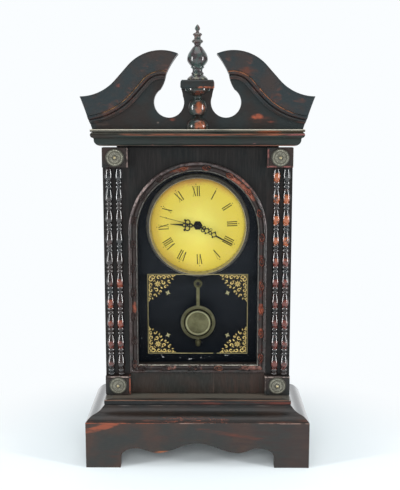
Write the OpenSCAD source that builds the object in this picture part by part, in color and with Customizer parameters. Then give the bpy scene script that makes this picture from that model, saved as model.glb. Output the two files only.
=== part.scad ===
// Ogee shelf clock: a bracket-foot base with an ogee cap moulding, a plain case
// behind a glazed full-front door with split turnings, a moulded cornice and a
// swan-neck pediment with a turned finial. Millimetres. The origin is at the
// middle of the footprint on the ground, X to the right, Y to the back, Z up.

/* [Base] */
// Width of the base across the skirt
base_w = 322; // [300:1:360]
// Depth of the base from front to back
base_d = 150; // [140:1:190]
// Height of the skirt boards
skirt_h = 67.4; // [60:0.1:100]
// Thickness of the skirt boards
skirt_t = 12; // [8:0.5:16]
// Height of the ogee cap moulding
cap_h = 25.1; // [20:0.1:34]
// How far the cap moulding steps in from the skirt
cap_setback = 24.7; // [18:0.1:27]
// Height of the plain fillet on top of the ogee
cap_fillet_h = 6.8; // [4:0.1:9]
// Swell of the ogee away from a straight slope
cap_swell = 1.8; // [0.5:0.1:2.2]
// Width of each foot on the front
foot_w = 50; // [36:1:60]
// Height of the arch in the middle of the front skirt
apron_crown_h = 36.6; // [28:0.1:50]
// Height of the low points beside the middle arch
apron_dip_h = 22.3; // [16:0.1:26]
// Height of the small arch beside each foot
apron_peak_h = 29.3; // [27:0.1:40]
// Width of each foot on the sides
side_foot_w = 36; // [28:1:44]
// Height of the back rail above the ground
back_rail_lift = 30; // [10:1:45]

/* [Case] */
// Width across the case sides
case_w = 234; // [224:1:244]
// Depth of the case sides
case_d = 75.2; // [70:0.1:80]
// Thickness of the case boards
case_t = 12; // [9:0.5:15]
// Thickness of the back panel and of the dial board
thin_board_t = 6; // [4:0.5:8]
// Width of the access opening in the back panel
access_w = 120; // [90:1:140]
// Height of the access opening in the back panel
access_h = 128; // [100:1:140]
// Width of the strip by which the back door overlaps its opening
access_lap = 8; // [5:0.5:10]
// Thickness of the back door
back_door_t = 4; // [3:0.5:4]

/* [Front door] */
// Width of the door across the corner blocks
door_w = 272.4; // [266:0.1:274]
// Height of the door
door_h = 364.5; // [350:0.5:380]
// Thickness of the door frame
door_t = 12; // [11:0.5:14]
// Gap between the base and the door
sill_gap = 1.5; // [0.8:0.1:2.5]
// Gap between the door and the cornice
head_gap = 2.5; // [1:0.1:4]
// Gap between the closed door and the case
door_gap = 0.3; // [0.2:0.1:0.8]
// Distance from the front of the base to the face of the door frame
door_setback = 55; // [52:0.5:60]
// Width of a corner block
block_w = 37; // [34:0.1:38]
// Height of a corner block
block_h = 28; // [26.5:0.1:28.9]
// Thickness of a corner block
block_t = 8; // [6:0.1:10]
// Width of the bead worked on a corner block's inner edges
block_bead_w = 2.6; // [1.8:0.1:3.4]
// Diameter of a rosette
rosette_d = 26; // [20:0.1:26.4]
// Height of the spring line of the window's arch above the door's foot
window_spring_h = 243.5; // [225:0.5:247]
// Height of the window's sill above the door's foot
window_sill_h = 45.4; // [41.5:0.1:50]
// Radius of the window's arch
window_r = 87.5; // [82:0.1:88]
// Width of the moulding around the window
arch_moulding_w = 13; // [10:0.1:13.2]
// Projection of the moulding around the window
arch_moulding_t = 7; // [5:0.1:8]
// Thickness of the door glass
glass_t = 2; // [1.5:0.1:3]
// Width of the rebate that holds the glass
rebate_w = 4; // [3:0.1:5]
// Depth of the rebate that holds the glass
rebate_d = 6; // [5.5:0.1:7]

/* [Split columns] */
// Diameter of a split column
column_d = 12.2; // [10:0.1:12.8]
// Spacing of the two columns of a pair
column_pitch = 14.2; // [13:0.1:15]
// Number of buds on a column
column_buds = 10; // [6:1:14]

/* [Cornice] */
// Width of the cornice board
cornice_w = 300; // [290:1:304]
// Overhang of the cornice board in front of the door frame
cornice_overhang = 26; // [24:0.1:29]
// Thickness of the cornice board
cornice_t = 12.7; // [10:0.1:16]
// Height of the moulding under the cornice board
bed_h = 10.8; // [8:0.1:14]
// Projection of the moulding under the cornice board
bed_run = 9.5; // [7:0.1:11]
// Step between the cornice board's edge and the moulding under it
bed_step = 4.5; // [2:0.1:5]

/* [Pediment] */
// Height of the scrolls above the cornice
pediment_h = 108.1; // [104:0.1:116]
// Radius of the swelling part of a scroll's top
swell_r = 62; // [58:0.1:66]
// Radius of the hollow part of a scroll's top
hollow_r = 67; // [60:0.1:72]
// Distance from the centre line to the crest of a scroll
crest_x = 50; // [46:0.1:54]
// Length of the straight slope between the swell and the hollow
slope_l = 27; // [16:0.5:32]
// Angle of the straight slope from level
slope_angle = 48; // [44:0.5:52]
// Half the span between the scrolls' outer tips
tip_x = 163.3; // [161.2:0.1:166]
// Half the length of the pediment on the cornice
foot_x = 149; // [140:0.1:150]
// Distance from the centre line to the inner tip of a scroll
inner_tip_x = 27; // [24:0.1:30]
// Thickness of the pediment board
tympanum_t = 14; // [12:0.1:16]
// Width of the crown moulding that follows a scroll
crown_w = 38.5; // [34:0.1:42]
// Projection of the crown moulding
crown_t = 17; // [14:0.1:17.9]
// Radius of the round cut-out inside a scroll
eye_r = 21.4; // [19:0.1:21.8]
// Distance from the centre line to the cut-out's centre
eye_x = 40.3; // [39.8:0.1:42]
// Height of the cut-out's centre above the cornice
eye_h = 37.5; // [35:0.1:40]

/* [Spindle and finial] */
// Height of the split spindle
spindle_h = 56.2; // [52:0.1:58]
// Diameter of the split spindle
spindle_d = 36.6; // [30:0.1:37.8]
// Width of the capital block
capital_w = 47; // [43:0.1:50]
// Depth of the capital block
capital_d = 38; // [34:0.1:40]
// Height of the capital block
capital_h = 11.7; // [9:0.1:14]
// Height of the rounded upper edge of the capital block
capital_ease_h = 5; // [3:0.1:6]
// Height of the finial
finial_h = 76.1; // [66:0.1:90]
// Diameter of the finial
finial_d = 29; // [24:0.1:33]
// Diameter of the finial's dowel
finial_dowel_d = 6; // [4:0.1:8]

/* [Dial] */
// Height of the dial's centre above the base
dial_h = 249.5; // [247:0.1:252]
// Diameter of the bezel
bezel_d = 154.4; // [140:0.1:158]
// Depth of the bezel
bezel_depth = 18; // [14:0.1:18.5]
// Width of the bezel's ring
bezel_ring_w = 7.4; // [6.5:0.1:9]
// Thickness of the dial
dial_t = 1; // [0.6:0.1:1.2]
// Distance from the back of the door frame to the dial board
dial_setback = 22; // [21.5:0.1:26]
// Height of the dial board's lower edge above the base
dial_board_foot_h = 173.5; // [163:0.1:175]

/* [Hands] */
// Length of the hour hand
hour_l = 41; // [36:0.5:44]
// Length of the minute hand
minute_l = 59; // [50:0.5:62]
// Length of the second hand
second_l = 58; // [46:0.5:62]
// Thickness of the hands
hand_t = 0.6; // [0.4:0.1:0.8]
// Angle of the hour hand past twelve
hour_angle = 273.8; // [0:0.1:360]
// Angle of the minute hand past twelve
minute_angle = 118.6; // [0:0.1:360]
// Angle of the second hand past twelve
second_angle = 284.8; // [0:0.1:360]

/* [Movement] */
// Width of the movement's housing
movement_w = 56; // [50:1:64]
// Height of the movement's housing
movement_h = 84; // [80:1:90]
// Thickness of the movement's housing
movement_t = 16; // [15:0.1:17]
// Height of the housing above the dial's centre
movement_rise = 28; // [27:0.1:30]
// Radius of the threaded bushing
bushing_r = 4.5; // [4:0.1:5]
// Running clearance between coaxial parts
run_gap = 0.05; // [0.02:0.01:0.08]

/* [Pendulum] */
// Drop from the dial's centre to the pendulum's pivot
pivot_drop = 42; // [40:0.1:46]
// Length of the hanger from the pivot to the rod's eye
hanger_l = 51.2; // [50:0.1:56]
// Drop from the rod's eye to the middle of the bob
bob_drop = 61.3; // [56:0.1:70]
// Diameter of the bob
bob_d = 53.6; // [44:0.1:60]
// Thickness of the bob
bob_t = 5.4; // [4.6:0.1:6]
// Width of the flat rod
rod_w = 4.8; // [4:0.1:5.6]
// Thickness of the flat rod
rod_t = 1.2; // [1:0.1:1.4]
// Height of the rating nut
nut_h = 9.5; // [7:0.1:12]
// Diameter of the rating nut
nut_d = 9.2; // [7:0.1:11]

/* [Hinges and catch] */
// Radius of the front door's hinge barrels
barrel_r = 2.4; // [2.2:0.1:2.5]
// Radius of the front door's hinge pins
pin_r = 1.2; // [1:0.1:1.3]
// Length of the front door's hinges
hinge_l = 30; // [24:1:40]
// Thickness of the hinge leaves
leaf_t = 1; // [0.8:0.1:1.1]
// Radius of the back door's hinge barrels
back_barrel_r = 1.5; // [1.4:0.05:1.55]
// Length of the back door's hinges
back_hinge_l = 20; // [16:1:26]
// Length of the turn button
button_l = 26; // [22:0.5:30]
// Width of the turn button
button_w = 9; // [7.5:0.1:10]

/* [Hidden] */

$fn = 96;
cut = 1;               // how far a cutter runs past a face
lacquer = "#1d1f1e";
worn_lacquer = "#3a1d16";
bare_wood = "#8a6a48";
antique_brass = "#77745a";
bright_brass = "#9a8850";
steel = "#9a9c9e";
black_metal = "#151515";
black_plastic = "#26282a";

// Heights of the main levels
base_top = skirt_h + cap_h;
door_foot = base_top + sill_gap;
door_head = door_foot + door_h;
case_head = door_head + head_gap;
cornice_foot = case_head + bed_h;
cornice_top = cornice_foot + cornice_t;
capital_foot = cornice_top + spindle_h;
capital_top = capital_foot + capital_h;

// Depths of the main faces
front_y = -base_d / 2;
door_face = front_y + door_setback;
door_back = door_face + door_t;
case_front = door_back + door_gap;
case_back = case_front + case_d;
panel_y = case_back - thin_board_t;
dial_board_y = door_back + dial_setback;
dial_y = dial_board_y - dial_t;
housing_y = dial_board_y + thin_board_t;
housing_back = housing_y + movement_t;
cornice_front = door_face - cornice_overhang;

// Base moulding and deck
cap_in = cap_setback + 11.3;   // width of the cap moulding at its foot
deck_t = 12;
cap_quirk = 1.2;               // groove under the fillet
side_arch_h = 26;              // height of the arch in a side skirt

// Door layout
stile_in = door_w / 2 - block_w;
stile_out = door_w / 2;
column_inset = 2.4;            // stile left in view outside the outer column
window_z = door_foot + window_spring_h;
window_sill = door_foot + window_sill_h;
arch_out_r = window_r + arch_moulding_w;
rebate_r = window_r + rebate_w;
glass_gap = 0.5;               // between the glass and its rebate
glass_y = door_back - rebate_d;
bead_y = glass_y + glass_t;
outer_column_x = stile_out - column_inset - column_d / 2;
inner_column_x = outer_column_x - column_pitch;

// Cornice layout
bed_w = cornice_w - 2 * bed_step - 2 * bed_run;  // width of the bed moulding at its foot
bed_front = cornice_front + bed_step + bed_run;  // front of the bed moulding at its foot

// Pediment layout, in the X-Z plane of the board's face
tympanum_y = door_face - 8;
crest_z = cornice_top + pediment_h;
swell_c = [crest_x, crest_z - swell_r];
meet_angle = 90 - slope_angle;                   // where the arcs join the straight slope
hollow_c = swell_c + (swell_r + hollow_r) * [cos(meet_angle), sin(meet_angle)]
    + slope_l * [cos(slope_angle), -sin(slope_angle)];
tip_angle = 270 + asin((tip_x - hollow_c[0]) / hollow_r);
tip_z = hollow_c[1] + hollow_r * sin(tip_angle);
inner_tip_angle = 180 - acos((crest_x - inner_tip_x) / swell_r);
inner_tip_z = swell_c[1] + swell_r * sin(inner_tip_angle);
eye_c = [eye_x, cornice_top + eye_h];
glue_gap = 0.03;                                 // hairline between a scroll's lengths
eye_lap = 0.5;                                   // how far a curve starts inside the cut-out
throat_angle = 30;                               // where the inner edge leaves the cut-out
throat = eye_c + (eye_r - eye_lap) * [cos(throat_angle), sin(throat_angle)];
waist = [crest_x - 5.9, eye_c[1] + 38.5];        // where the inner edge changes its curve
neck_angle = 162;                                // where the neck's flare leaves the cut-out
neck = eye_c + (eye_r - eye_lap) * [cos(neck_angle), sin(neck_angle)];
neck_head = [capital_w / 2 - 0.6, capital_foot]; // top of the flare under the capital
spindle_y = tympanum_y;                          // the split face of the spindle

// Dial and movement
dial_z = base_top + dial_h;
dial_board_foot = base_top + dial_board_foot_h;
bezel_r = bezel_d / 2;
dial_sight_r = bezel_r - bezel_ring_w;
dial_r = dial_sight_r + 4.2;
dial_hole_r = bushing_r + 0.5;
dial_nut_t = 2;
bushing_front = dial_y - dial_nut_t - 0.6;
hour_tube_r = 3;
minute_arbor_r = 1.75;
second_arbor_r = 0.6;
hour_y = bushing_front - 3.4;      // back face of each hand
minute_y = hour_y - 2.6;
second_y = minute_y - 2;
housing_top = dial_z + movement_rise;
housing_foot = housing_top - movement_h;
battery_r = 7.25;
battery_l = 49;
battery_z = housing_top - 10;
battery_y = housing_back - 6.6;
bay_gap = 0.4;
knob_r = 7;
knob_gap = 0.4;

// Pendulum
pivot_z = dial_z - pivot_drop;
eye_z = pivot_z - hanger_l;
bob_z = eye_z - bob_drop;
pivot_r = 1.5;
hanger_gap = 0.4;                  // between the housing and the hanger's boss
hanger_t = 1.5;
rod_y = housing_back + hanger_gap;
hanger_y = rod_y + rod_t;
rod_eye_r = 6.6;
rivet_r = 1.6;
bob_back = hanger_y + 0.8;
thread_r = 1.3;
nut_gap = 0.2;
nut_top = bob_z - bob_d / 2 - nut_gap;
thread_foot = nut_top - nut_h - 1.6;

// Front door hinges, on the right-hand side of the case
hinge_x = case_w / 2 + barrel_r + 0.3;
hinge_y = case_front + barrel_r;
case_leaf_w = 11;
door_leaf_w = 11;
hinge_drop = 62;                   // from the door's ends to the hinges' middles
knuckle_gap = 0.3;
leaf_clear = barrel_r + knuckle_gap;  // from the pin's axis to the case leaf
hinge_zs = [door_foot + hinge_drop, door_head - hinge_drop];

// Magnetic catch, halfway up the left-hand side of the case
catch_z = (base_top + case_head) / 2;
catch_l = 30;
catch_w = 11;
catch_d = 14;
plate_w = 9;
plate_t = 0.8;
plate_inset = 1.5;                 // from the case side to the strike plate

// Back door and its hinges
access_z = dial_z - 6.5;
back_door_w = access_w + 2 * access_lap;
back_door_h = access_h + 2 * access_lap;
back_door_y = case_back + 0.3;
back_door_face = back_door_y + back_door_t;
back_leaf_t = 0.8;
back_hinge_x = -back_door_w / 2 - 2.3;
back_hinge_y = back_door_face + back_leaf_t - back_barrel_r;
back_pin_r = 0.8;
back_leaf_w = 10;
back_hinge_zs = [access_z - 44, access_z + 44];
button_x = back_door_w / 2 + button_w / 2 + 1.5;
button_t = 1.4;
button_y = back_door_face + 0.2;
button_screw_r = 1.5;
button_head_r = 2.9;

// ---------------------------------------------------------------- helpers

// An X-Z outline drawn from depth y0 back to depth y1
module across(y0, y1) {
    translate([0, y1, 0]) rotate([90, 0, 0]) linear_extrude(y1 - y0) children();
}

// A Y-Z outline drawn from x0 to x1
module along(x0, x1) {
    translate([x0, 0, 0]) rotate([90, 0, 90]) linear_extrude(x1 - x0) children();
}

// A profile of radius and height above the face at depth y, turned about the Y axis
module faced(x, y, z) {
    translate([x, y, z]) rotate([90, 0, 0]) rotate_extrude() children();
}

// A straight round bar along Y
module bar(x, z, y0, y1, r) {
    translate([x, y1, z]) rotate([90, 0, 0]) cylinder(h = y1 - y0, r = r);
}

module both_sides() {
    children();
    mirror([1, 0, 0]) children();
}

// Points of a circular arc about c
function arc(c, r, a0, a1, n) = [for (i = [0:n]) let (a = a0 + (a1 - a0) * i / n)
    [c[0] + r * cos(a), c[1] + r * sin(a)]];

// Points of a shallow arc from p to q that bulges by s to the left of its way
function bow(p, q, s, n) = let (d = q - p, l = norm(d), nrm = [-d[1], d[0]] / l)
    [for (i = [0:n]) let (t = i / n) p + d * t + nrm * s * 4 * t * (1 - t)];

// A smooth curve through all points of p, n steps between two points
function smooth(p, n) = let (m = len(p) - 1) concat([for (i = [0:m - 1]) for (k = [0:n - 1])
    let (a = p[max(i - 1, 0)], b = p[i], c = p[i + 1], d = p[min(i + 2, m)], t = k / n)
    0.5 * (2 * b + (c - a) * t + (2 * a - 5 * b + 4 * c - d) * t * t
        + (3 * b - a - 3 * c + d) * t * t * t)], [p[m]]);

// ---------------------------------------------------------------- base

// The half outline of the front skirt's lower edge, from the middle to the foot
function apron(x) = let (foot = base_w / 2 - foot_w, dip = foot * 0.53, peak = foot * 0.79)
    x < dip ? apron_dip_h + (apron_crown_h - apron_dip_h) * (1 + cos(180 * x / dip)) / 2
    : x < peak ? apron_dip_h
        + (apron_peak_h - apron_dip_h) * (1 - cos(180 * (x - dip) / (peak - dip))) / 2
    : 16 + (apron_peak_h - 16) * sqrt(max(0, 1 - pow((x - peak) / (foot - peak), 2)));

module base_front_skirt() {
    color(lacquer)
    difference() {
        across(front_y, front_y + skirt_t)
            difference() {
                translate([-base_w / 2, 0]) square([base_w, skirt_h]);
                apron_cut();
            }
        both_sides() mitre_prism(skirt_t);
    }
}

module apron_cut() {
    foot = base_w / 2 - foot_w;
    steps = 36;
    half = [for (i = [0:steps]) let (x = foot * i / steps) [x, apron(x)]];
    both_sides() polygon(concat([[-0.01, -cut], [-0.01, apron_crown_h]], half, [[foot, -cut]]));
}

// What a 45 degree mitre takes off the right end of the front skirt
module mitre_prism(t) {
    translate([base_w / 2, front_y, -cut])
        linear_extrude(skirt_h + 2 * cut)
            polygon([[cut, -cut], [cut, t + 2 * cut], [-t - cut, t + cut]]);
}

module base_side_skirt() {
    run = base_d - 2 * side_foot_w;
    translate([base_w / 2 - skirt_t, 0, 0])
        difference() {
            along(0, skirt_t)
                difference() {
                    translate([front_y, 0]) square([base_d, skirt_h]);
                    polygon(concat([[-run / 2, -cut]],
                        [for (i = [0:24]) let (a = 180 - 180 * i / 24)
                            [run / 2 * cos(a), 14 + (side_arch_h - 14) * sin(a)]],
                        [[run / 2, -cut]]));
                }
            translate([0, front_y, -cut])
                linear_extrude(skirt_h + 2 * cut)
                    polygon([[-cut, -cut], [skirt_t + cut, -cut], [-cut, skirt_t + cut]]);
        }
}

module base_right_skirt() {
    color(lacquer) base_side_skirt();
}

module base_left_skirt() {
    color(lacquer) mirror([1, 0, 0]) base_side_skirt();
}

// The back rail stands between the side skirts and carries the deck's back edge
module base_back_rail() {
    half = base_w / 2 - skirt_t;
    deck_half = base_w / 2 - cap_in;
    deck_foot = base_top - deck_t;
    color(lacquer)
        across(base_d / 2 - skirt_t, base_d / 2)
            polygon([[-half, back_rail_lift], [half, back_rail_lift], [half, skirt_h],
                [deck_half, skirt_h], [deck_half, deck_foot], [-deck_half, deck_foot],
                [-deck_half, skirt_h], [-half, skirt_h]]);
}

// Section of the cap moulding: distance in from the skirt's face, and height
function cap_section() = let (rise = cap_h - cap_fillet_h, n = 16) concat(
    [[cap_in, skirt_h], [0, skirt_h]],
    [for (i = [1:n]) let (t = i / n)
        [cap_setback * t, skirt_h + rise * t + cap_swell * sin(360 * t)]],
    [[cap_setback + cap_quirk, skirt_h + rise],
        [cap_setback + cap_quirk, skirt_h + rise + cap_quirk],
        [cap_setback, skirt_h + rise + cap_quirk],
        [cap_setback, base_top], [cap_in, base_top]]);

module base_moulding_front() {
    color(worn_lacquer)
    intersection() {
        along(-base_w / 2, base_w / 2)
            translate([front_y, 0]) polygon(cap_section());
        translate([0, front_y, skirt_h - cut])
            linear_extrude(cap_h + 2 * cut)
                polygon([[-base_w / 2, 0], [base_w / 2, 0],
                    [base_w / 2 - cap_in - cut, cap_in + cut],
                    [-base_w / 2 + cap_in + cut, cap_in + cut]]);
    }
}

module base_moulding_side() {
    intersection() {
        across(front_y, -front_y)
            translate([base_w / 2, 0]) mirror([1, 0]) polygon(cap_section());
        translate([0, front_y, skirt_h - cut])
            linear_extrude(cap_h + 2 * cut)
                polygon([[base_w / 2, 0], [base_w / 2 + cut, 0], [base_w / 2 + cut, base_d],
                    [base_w / 2 - cap_in - cut, base_d],
                    [base_w / 2 - cap_in - cut, cap_in + cut]]);
    }
}

module base_moulding_right() {
    color(worn_lacquer) base_moulding_side();
}

module base_moulding_left() {
    color(worn_lacquer) mirror([1, 0, 0]) base_moulding_side();
}

module base_deck() {
    color(lacquer)
        translate([-base_w / 2 + cap_in, front_y + cap_in, base_top - deck_t])
            cube([base_w - 2 * cap_in, base_d - cap_in, deck_t]);
}

// ---------------------------------------------------------------- case

module case_side() {
    translate([case_w / 2 - case_t, case_front, base_top])
        cube([case_t, case_d, case_head - base_top]);
}

module case_right_side() {
    color(lacquer) case_side();
}

module case_left_side() {
    color(lacquer) mirror([1, 0, 0]) case_side();
}

module case_top() {
    color(lacquer)
        translate([-case_w / 2 + case_t, case_front, case_head - case_t])
            cube([case_w - 2 * case_t, panel_y - case_front, case_t]);
}

module back_panel() {
    color(lacquer)
    difference() {
        across(panel_y, case_back)
            difference() {
                translate([-case_w / 2 + case_t, base_top])
                    square([case_w - 2 * case_t, case_head - base_top]);
                translate([-access_w / 2, access_z - access_h / 2])
                    square([access_w, access_h]);
            }
        bar(button_x, access_z, panel_y - cut, case_back + cut, button_screw_r);
    }
}

module dial_board() {
    color(black_metal)
    difference() {
        translate([-case_w / 2 + case_t, dial_board_y, dial_board_foot])
            cube([case_w - 2 * case_t, thin_board_t, case_head - case_t - dial_board_foot]);
        bar(0, dial_z, dial_board_y - cut, housing_y + cut, dial_hole_r);
    }
}

// ---------------------------------------------------------------- cornice

// Section of the cornice board's edge from top to foot, a fillet over a bead:
// distance in from the edge, and height
function cornice_edge() = let (r = cornice_t * 0.33, zc = cornice_foot + r + 0.7) concat(
    [[0, cornice_top], [0, zc + r + 0.5], [1.4, zc + r]],
    [for (i = [1:11]) let (a = 90 - 180 * i / 12) [r - r * cos(a), zc + r * sin(a)]],
    [[r - 0.5, zc - r], [r - 0.5, cornice_foot]]);

module cornice_board() {
    edge = cornice_edge();
    color(worn_lacquer)
    intersection() {
        along(-cornice_w / 2 - cut, cornice_w / 2 + cut)
            polygon(concat([for (p = edge) [cornice_front + p[0], p[1]]],
                [[case_back, cornice_foot], [case_back, cornice_top]]));
        across(cornice_front - cut, case_back + cut)
            polygon(concat([for (p = edge) [p[0] - cornice_w / 2, p[1]]],
                [for (i = [len(edge) - 1:-1:0]) [cornice_w / 2 - edge[i][0], edge[i][1]]]));
    }
}

// Section of the bed moulding: distance out from its foot, and height
function bed_section(inner) = concat([[inner, case_head], [0, case_head]],
    [for (i = [1:9]) let (a = 90 * i / 9)
        [bed_run * sin(a), case_head + (bed_h - 2) * (1 - cos(a))]],
    [[bed_run, cornice_foot], [inner, cornice_foot]]);

module cornice_moulding_front() {
    inner = case_front - bed_front;
    reach = bed_w / 2 + bed_run;
    color(worn_lacquer)
    intersection() {
        along(-reach, reach)
            translate([bed_front, 0]) mirror([1, 0]) polygon(bed_section(-inner));
        translate([0, bed_front, case_head - cut])
            linear_extrude(bed_h + 2 * cut)
                polygon([[-reach, -bed_run], [reach, -bed_run],
                    [case_w / 2, bed_w / 2 - case_w / 2], [case_w / 2, inner],
                    [-case_w / 2, inner], [-case_w / 2, bed_w / 2 - case_w / 2]]);
    }
}

module cornice_moulding_side() {
    inner = bed_w / 2 - case_w / 2;
    reach = bed_w / 2 + bed_run;
    intersection() {
        across(bed_front - bed_run, case_back)
            translate([bed_w / 2, 0]) polygon(bed_section(-inner));
        translate([0, bed_front, case_head - cut])
            linear_extrude(bed_h + 2 * cut)
                polygon([[reach, -bed_run], [reach, case_back - bed_front],
                    [case_w / 2, case_back - bed_front], [case_w / 2, inner]]);
    }
}

module cornice_moulding_right() {
    color(worn_lacquer) cornice_moulding_side();
}

module cornice_moulding_left() {
    color(worn_lacquer) mirror([1, 0, 0]) cornice_moulding_side();
}

// ---------------------------------------------------------------- pediment

// The gap between a scroll and the neck, above and inside the round cut-out
module scroll_gap() {
    top = crest_z + 20;
    polygon(concat([eye_c], bow(neck, neck_head, 0.5, 5), [[-cut, capital_foot],
        [-cut, top], [inner_tip_x - 6, top], [inner_tip_x - 6, inner_tip_z + 10]],
        bow([inner_tip_x, inner_tip_z], waist, 1.2, 8),
        bow(waist, throat, -2.6, 8)));
    translate(eye_c) circle(r = eye_r);
}

// Half of the pediment board's outline, under the swell, slope and hollow of a scroll
module scroll_half() {
    n = 40;
    difference() {
        polygon(concat([[-0.01, cornice_top], [foot_x, cornice_top]],
            arc(hollow_c, hollow_r, tip_angle, 180 + meet_angle, n),
            arc(swell_c, swell_r, meet_angle, inner_tip_angle, n),
            [[-0.01, inner_tip_z]]));
        scroll_gap();
    }
}

module tympanum() {
    color(lacquer)
        across(tympanum_y, tympanum_y + tympanum_t) both_sides() scroll_half();
}

// Section of the crown moulding: distance in from the scroll's top edge, and
// projection from the board: a fillet, a shallow cove, a large and a small bead
function crown_section() = let (face = crown_w * 0.7, k = crown_t / 17) concat(
    [[0, 0], [0, crown_t], [1.6, crown_t]],
    bow([1.6, crown_t - 1], [face, 8 * k], -1.6, 10),
    arc([face + 2.9, 7 * k], 2.7, 180, 0, 10),
    arc([face + 7.6, 4.6 * k], 1.7, 180, 0, 8),
    [[crown_w, 3 * k], [crown_w, 0]]);

module crown_moulding() {
    over = 14;
    section = crown_section();
    difference() {
        union() {
            translate([swell_c[0], tympanum_y, swell_c[1]]) rotate([90, 0, 0])
                rotate([0, 0, meet_angle]) {
                    rotate_extrude(angle = inner_tip_angle - meet_angle + over, $fn = 180)
                        polygon([for (p = section) [swell_r - p[0], p[1]]]);
                    translate([0, -glue_gap, 0]) rotate([90, 0, 0])
                        linear_extrude(slope_l - 2 * glue_gap)
                            polygon([for (p = section) [swell_r - p[0], p[1]]]);
                }
            translate([hollow_c[0], tympanum_y, hollow_c[1]]) rotate([90, 0, 0])
                rotate([0, 0, 180 + meet_angle])
                    rotate_extrude(angle = tip_angle + over / 2 - 180 - meet_angle, $fn = 180)
                        polygon([for (p = section) [hollow_r + p[0], p[1]]]);
        }
        across(tympanum_y - crown_t - cut, tympanum_y + cut) scroll_gap();
        across(tympanum_y - crown_t - cut, tympanum_y + cut) end_cut();
    }
}

// What the slanting end of the pediment leaves outside
module end_cut() {
    lean = [tip_x - foot_x, tip_z - cornice_top];
    low = [foot_x, cornice_top] - lean * 0.2;
    high = [tip_x, tip_z] + lean * 0.4;
    polygon([low, low + [60, 0], high + [60, 0], high]);
}

module crown_moulding_right() {
    color(lacquer) crown_moulding();
}

module crown_moulding_left() {
    color(lacquer) mirror([1, 0, 0]) crown_moulding();
}

module capital_block() {
    color(lacquer)
    difference() {
        intersection() {
            across(spindle_y - capital_d / 2, spindle_y + capital_d / 2)
                capital_outline(capital_w / 2);
            along(-capital_w / 2, capital_w / 2)
                translate([spindle_y, 0]) capital_outline(capital_d / 2);
        }
        translate([0, spindle_y, capital_top - 9])
            cylinder(h = 9 + cut, d = finial_dowel_d);
    }
}

// Outline of the capital block, half as wide as w: a rounded edge over a small cove
module capital_outline(w) {
    cove = 1.2;
    ease_w = 2;
    bulge = 0.5;
    polygon(concat(
        bow([ease_w - w, capital_top], [-w, capital_top - capital_ease_h], -bulge, 5),
        arc([-w, capital_foot], cove, 90, 0, 6),
        arc([w, capital_foot], cove, 180, 90, 6),
        bow([w, capital_top - capital_ease_h], [w - ease_w, capital_top], -bulge, 5)));
}

// Profile of the split spindle from the cornice up: bell, ball and capital cone
function spindle_profile() = let (k = spindle_h / 56.2, r = spindle_d / 36.6) concat(
    [[0, 0]],
    smooth([[14.6, 0], [16.3, 4.2], [13.6, 11.5], [7.2, 17.2], [5.6, 18.2]], 5),
    smooth([[6.2, 18.8], [11, 21], [13.8, 30.5], [11, 40], [6.2, 42.4]], 6),
    smooth([[5.8, 43.4], [7.4, 46.4], [12.8, 49.6], [17.2, 52.4], [18.3, 54.2]], 5),
    [[18.3, 56.2], [0, 56.2]]) * [[r, 0], [0, k]];

module split_spindle() {
    color(worn_lacquer)
        translate([0, spindle_y, cornice_top])
            rotate([0, 0, 180])
                rotate_extrude(angle = 180) polygon(spindle_profile());
}

// Profile of the finial from the capital up: skirt, ring, urn, collars and acorn
function finial_profile() = let (k = finial_h / 76.1, r = finial_d / 29) concat(
    [[0, 0]],
    smooth([[14, 0], [14.5, 2], [11.4, 5.2], [8.4, 7.2], [8.8, 8.7], [8.4, 10.2]], 4),
    smooth([[7.2, 11.6], [6.9, 13.6], [7.4, 15.6]], 4),
    smooth([[9.3, 17], [9.5, 18.1], [8.9, 19.2]], 3),
    smooth([[10.6, 20.8], [13.7, 25], [14.5, 29.2], [13.1, 35.4], [9.4, 41.2], [6.2, 45.6]], 5),
    smooth([[4.6, 46.6], [4.4, 48.2], [5.2, 50]], 3),
    smooth([[7.4, 51.6], [8, 53.1], [7, 54.8]], 3),
    smooth([[5, 56], [4.4, 58.4], [4.9, 60.2]], 3),
    smooth([[6.2, 61.4], [6.5, 62.6], [5.4, 64]], 3),
    smooth([[2.8, 65], [2.1, 66.6], [2.6, 68]], 3),
    smooth([[3.5, 69.4], [3.7, 70.6], [2.6, 73.2], [1, 75.4]], 4),
    [[0, 76.1]]) * [[r, 0], [0, k]];

module finial() {
    color(worn_lacquer)
        translate([0, spindle_y, capital_top]) {
            rotate_extrude() polygon(finial_profile());
            translate([0, 0, -8]) cylinder(h = 8 + cut, d = finial_dowel_d - 2 * run_gap);
        }
}

// ---------------------------------------------------------------- front door

module door_stile() {
    translate([stile_in, door_face, door_foot]) cube([stile_out - stile_in, door_t, door_h]);
}

module door_right_stile() {
    color(lacquer) door_stile();
}

module door_left_stile() {
    color(lacquer) mirror([1, 0, 0]) door_stile();
}

// An arched opening of radius r whose foot is at height foot
module arched(r, foot) {
    translate([0, window_z]) circle(r = r, $fn = 180);
    translate([-r, foot]) square([2 * r, window_z - foot]);
}

module door_panel() {
    difference() {
        translate([0, door_face, window_sill])
            cube([stile_in, door_t, door_head - window_sill]);
        across(door_face - cut, door_back + cut) arched(window_r, window_sill - cut);
        across(glass_y, door_back + cut) arched(rebate_r, window_sill - rebate_w - cut);
    }
}

module door_panel_right() {
    color(lacquer) door_panel();
}

module door_panel_left() {
    color(lacquer) mirror([1, 0, 0]) door_panel();
}

module door_bottom_rail() {
    color(lacquer)
    difference() {
        translate([-stile_in, door_face, door_foot])
            cube([2 * stile_in, door_t, window_sill - door_foot]);
        translate([-rebate_r, glass_y, window_sill - rebate_w])
            cube([2 * rebate_r, rebate_d + cut, rebate_w + cut]);
    }
}

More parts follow.
